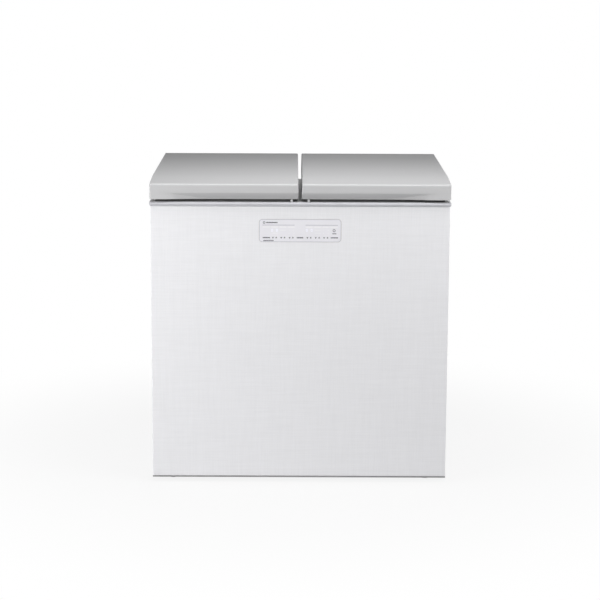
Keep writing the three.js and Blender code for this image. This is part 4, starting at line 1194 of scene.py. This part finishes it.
# rear cover with louvres, pressed out from a screwed flange
coverSizes = {
    "sheet": 1.2,
    "cornerRound": 3,
    "flange": 15,
    "step": 3.2,  # how far the flange lies behind the pressed face
    "slots": 13,
    "slot": (7, 80),
    "slotRound": 3.2,
    "slotMargin": 58,
    "slotHeight": 20,  # middle of the slots above the middle of the cover
    "louvre": (5.2, 0.8),  # curve and sheet of the lip behind a slot
    "louvreTurn": 72,
    "louvreShort": 2,
    "gland": 9.3,
    "screwSeat": 0.9,
}


def coverSlots(sizes):
    (_, x1), _, z = boxOf("rear_cover")
    last = sizes["slots"] - 1
    pitch, height = (x1 - 2 * sizes["slotMargin"]) / last, middle(z) + sizes["slotHeight"]
    return [(way * x1 / 2 + (i - last / 2) * pitch, height) for way in (-1, 1) for i in range(last + 1)]


def makeRearCover(sizes):
    x, (y0, y1), z = boxOf("rear_cover")
    gx, _, gz = boxOf("power_gland")
    sheet, flange, slots = sizes["sheet"], sizes["flange"], coverSlots(sizes)
    (half, tall), bore = (size / 2 for size in sizes["slot"]), sizes["gland"]
    low, back = y1 - sizes["step"], y1 - sheet

    def rings(rows):
        return [roundedLoop(x, z, inset, sizes["cornerRound"], upright(y), 5) for inset, y in rows]

    def holes(y):
        loops = []
        for across, up in slots:
            a, b = about(across, half), about(up, tall)
            loops.append(roundedLoop(a, b, 0, sizes["slotRound"], upright(y), 3))
        circle = [(middle(gx) + bore * cos(t), y, middle(gz) + bore * sin(t)) for t in fullTurn(28)]
        return loops + [circle]

    rows = [(sheet, y0), (0, y0), (0, low - 0.8), (0.3, low - 0.2), (1, low), (flange, low)]
    rows += [(flange + 0.8, low + 0.3), (flange + 3.4, y1 - 0.3), (flange + 4.4, y1)]
    outer = rings(rows)
    inner = rings([(sheet, y0), (sheet, low - sheet), (flange + 1.6, low - sheet), (flange + 5, back)])
    shape = bmesh.new()
    skin(shape, outer, "open")
    skin(shape, inner, "open")
    pane(shape, outer[-1], holes(y1))
    pane(shape, inner[-1], holes(back))
    for near, far in zip(holes(y1), holes(back)):
        skin(shape, [near, far], "open")
    makePiece(shape, "rear_cover_sheet", "galvanised", ["rear_cover"], crease=35)

    # a curved lip behind each slot turns the air aside
    curve, lip = sizes["louvre"]
    turns = [radians(sizes["louvreTurn"] * i / 8) for i in range(9)]
    shape = bmesh.new()
    for across, up in slots:
        arcs = []
        for thick in (0, lip):
            r, start = curve - thick, across - half + thick
            arcs.append([(start + r * (1 - cos(t)), back - r * sin(t)) for t in turns])
        profile, end = arcs[0] + arcs[1][::-1], tall - sizes["louvreShort"]
        skin(shape, [[(px, py, h) for px, py in profile] for h in about(up, end)])
    makePiece(shape, "rear_cover_louvres", "galvanised", crease=35)

    line, seat = flange / 2, low + sizes["screwSeat"]
    columns = (x[0] + line, x[0] / 2, 0, x[1] / 2, x[1] - line)
    spots = [(across, seat, up) for across in columns for up in within(z, line)]
    spots += [(across, seat, middle(z)) for across in (columns[0], columns[-1])]
    makeScrews("rear_cover_screws", spots, (0, 1, 0))


makeRearCover(coverSizes)
print("rear cover made")


# machine room
compressorSizes = {
    "radius": 76,
    "height": 168,
    "seam": 0.56,
    "stub": 12,  # from the end of the pipe stub to the can
    "box": (24, 50, 104),  # terminal box: half its width, foot and top
    "lap": 0.6,  # of its cover
    "stubs": (70, 88),
    "pipe": 3.4,
}


def makeCompressor(sizes):
    (x0, x1), y, (z0, _) = boxOf("compressor")
    r, tall, cy = sizes["radius"], sizes["height"], middle(y)
    cx, seam, (half, low, high) = x0 + sizes["stub"] + r, tall * sizes["seam"], sizes["box"]
    # inset and height
    can = [(r, 1), (34, 0), (20, 1), (8, 6), (3, 16), (1, 30), (1, seam - 7), (0, seam - 5.5)]
    can += [(0, seam + 1.5), (2, seam + 2.5), (4.2, seam + 3.5), (4.6, tall * 0.72), (8, tall * 0.81)]
    can += [(15, tall * 0.89), (27, tall * 0.955), (44, tall * 0.99), (r, tall)]
    shape = bmesh.new()
    turned(shape, [(r - inset, h) for inset, h in can], "z", (cx, cy, z0), 56)
    box, lap = (z0 + low, z0 + high), sizes["lap"]
    block(shape, (cx + r - 10, x1), about(cy, half), box, 4)
    block(shape, (x1 - 12, x1 - 9), about(cy, half + lap), within(box, -lap), 1)
    turned(shape, [(6, 0), (6, 4), (4.6, 6), (4.6, 24)], "x", (x0, cy, z0 + 60), 24)
    for height in sizes["stubs"]:
        z = z0 + height
        route = bent([(cx - 52, cy - 46, z), (cx - 52, cy - 70, z), (cx - 44, cy - 73, z + 26)], 10)
        pipe(shape, route, sizes["pipe"])
    makePiece(shape, "compressor_can", "black_enamel", ["compressor"], crease=38)


boardBoxSizes = {
    "cap": 16,
    "overlap": 1.5,
    "ribs": 7,
    "ribMargin": (24, 28),
    "ribHalf": 1.6,
    "glands": 3,
    "glandPitch": 26,
    "glandHeight": 22,
    "gland": [(3.2, -9), (4.4, -8.5), (4.4, -4), (6.4, -3.6), (6.4, 2)],
    "screwInset": 10,
}


def makeBoardBox(sizes):
    # a moulded box under a ribbed cap, with glands for the leads
    x, y, (z0, z1) = boxOf("board_box")
    over, seam, (endX, endY) = sizes["overlap"], z1 - sizes["cap"], sizes["ribMargin"]
    ribs, glands, half, inset = sizes["ribs"] - 1, sizes["glands"], sizes["ribHalf"], sizes["screwInset"]
    shape = bmesh.new()
    block(shape, within(x, over), within(y, over), (z0, seam + 1), 2)
    block(shape, x, y, (seam, z1), 2.4)
    for i in range(ribs + 1):
        at = y[0] + endY + (y[1] - y[0] - 2 * endY) * i / ribs
        block(shape, within(x, endX), about(at, half), (z1 - 0.5, z1 + 1.1), 0.5)
    for i in range(glands):
        at = middle(y) + (i - (glands - 1) / 2) * sizes["glandPitch"]
        turned(shape, sizes["gland"], "x", (x[0], at, z0 + sizes["glandHeight"]), 20)
    makePiece(shape, "board_box_case", "white_plastic", ["board_box"], crease=40)
    corners = [(a, b, z1 + 0.9) for a in within(x, inset) for b in within(y, inset)]
    makeScrews("board_box_screws", corners, (0, 0, 1), head=3.4, height=1.7)


condenserSizes = {
    "pitch": 32,
    "runs": 6,
    "pipe": 3.5,
    "length": 210,
    "turnSteps": 10,
    "fins": 54,
    "fin": 0.4,
    "finned": 0.94,  # share of the length
}


def makeCondenser(sizes):
    x, y, z = boxOf("condenser")
    pitch, last, r, steps = sizes["pitch"], sizes["runs"] - 1, sizes["pipe"], sizes["turnSteps"]
    layers, cy, half = within(x, r), middle(y), sizes["length"] / 2
    route = []
    for layer, at in enumerate(layers):
        for run in range(last + 1):
            level = last - run if layer else run
            way = -1 if (run + layer * (last + 1)) % 2 else 1
            height = z[0] + r + level * pitch
            route += [(at, cy - way * half, height), (at, cy + way * half, height)]
            if run == last and layer:
                continue
            for i in range(1, steps):
                angle = pi * i / steps
                along, out = pitch / 2 * (1 - cos(angle)), cy + way * (half + pitch / 2 * sin(angle))
                if run == last:
                    route.append((at + along * (layers[1] - at) / pitch, out, height))
                else:
                    route.append((at, out, height + (-along if layer else along)))
    shape = bmesh.new()
    pipe(shape, route, r)
    makePiece(shape, "condenser_coil", "black_enamel", ["condenser"], crease=60)
    fins = sizes["fins"] - 1
    step = sizes["length"] * sizes["finned"] / fins
    values = {"Count": fins + 1, "Step": (0, step * mm, 0), "Material": finishes["galvanised"]}
    values["Plate"] = ((x[1] - x[0] - 0.6) * mm, sizes["fin"] * mm, (z[1] - z[0] - 2) * mm)
    mesh = grown(plates, [(middle(x), cy - step * fins / 2, middle(z))], values)
    settle(mesh, "condenser_fins", finishes["galvanised"], "cabinet", "galvanised")


springSizes = {"wire": 1, "drawn": 0.95, "turns": 6, "steps": 22}


def makeSpring(name, side, sizes):
    node = f"{name}_hinge_spring"
    x, y, z = boxOf(node)
    wire, count = sizes["wire"], sizes["turns"] * sizes["steps"]
    radius = (z[1] - z[0]) / 2 - wire
    start, end = within(x, wire)[::-side]
    path = []
    for i in range(count + 1):
        angle = 2 * pi * i / sizes["steps"]
        at = start + (end - start) * i / count
        path.append((at, middle(y) + radius * cos(angle), middle(z) + radius * sin(angle)))
    shape = bmesh.new()
    pipe(shape, path, wire * sizes["drawn"], 8)
    makePiece(shape, f"{name}_spring_coil", "steel", [node], nodes[node]["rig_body"], crease=60)


makeCompressor(compressorSizes)
makeBoardBox(boardBoxSizes)
makeCondenser(condenserSizes)
for name, side in sides:
    makeSpring(name, side, springSizes)
    for spot in ("inner", "outer"):
        for part, edge in (("base", 0.5), ("pin", 0.4), ("leaf", 0.4)):
            softened(f"{name}_{spot}_hinge_{part}", edge)
for node in ("fan_shroud", "fan_motor", "compressor_cradle", "base_frame"):
    softened(node, 0.6)
softened("fan_blade", 0, 40)
softened("discharge_pipe", 0, 50)
print("machine room made")


# feet and rollers
footSizes = {
    "pad": [(0, 0.3), (16.6, 0), (18.4, 0.6), (19, 2), (19, 3.6), (18, 5), (12.5, 9.4), (11, 10), (0, 10)],
    "nut": [(9.4, 10), (10.2, 10.5), (10.2, 14.1), (9.4, 14.6)],
    "thread": (4.2, 5),
}
# radius and place along the axle, mirrored
rollerProfile = [(3.4, 0), (10.8, 0), (12.1, 0.8), (12.5, 2), (12.5, 5.4), (11.9, 6), (11.9, 7), (12.5, 7.6)]
rollerProfile += [(radius, 20 - along) for radius, along in rollerProfile[::-1]]


def makeFoot(node, sizes):
    x, y, (z0, z1) = boxOf(node)
    centre, (core, crest) = (middle(x), middle(y), z0), sizes["thread"]
    shape = bmesh.new()
    turned(shape, sizes["pad"], "z", centre, 48)
    turned(shape, sizes["nut"], "z", centre, 6)
    thread = [(core, sizes["nut"][-1][1])]
    while thread[-1][1] < z1 - z0 - 1.6:
        h = thread[-1][1]
        thread += [(crest, h + 0.5), (crest, h + 0.7), (core, h + 1.25)]
    turned(shape, thread + [(0, z1 - z0)], "z", centre, 20)
    makePiece(shape, f"{node}_pad", "dark_plastic", [node], nodes[node]["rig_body"], crease=35)


def makeRoller(node, profile):
    x, y, z = boxOf(node)
    shape = bmesh.new()
    turned(shape, profile, "x", (x[0], middle(y), middle(z)), 40, "joined")
    makePiece(shape, f"{node}_wheel", "dark_plastic", [node], nodes[node]["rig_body"], crease=35)


for name, side in sides:
    makeFoot(f"{name}_foot", footSizes)
    makeRoller(f"{name}_roller", rollerProfile)
    softened(f"{name}_roller_bracket", 0.3)
    softened(f"{name}_roller_axle", 0.4)
softened("power_gland", 0.5)
print("feet and rollers made")


# what stays as the CAD made it gets its finish
for node, part in nodes.items():
    if not part.hide_render:
        part.data.materials.clear()
        part.data.materials.append(finishes[slotOf[node]])
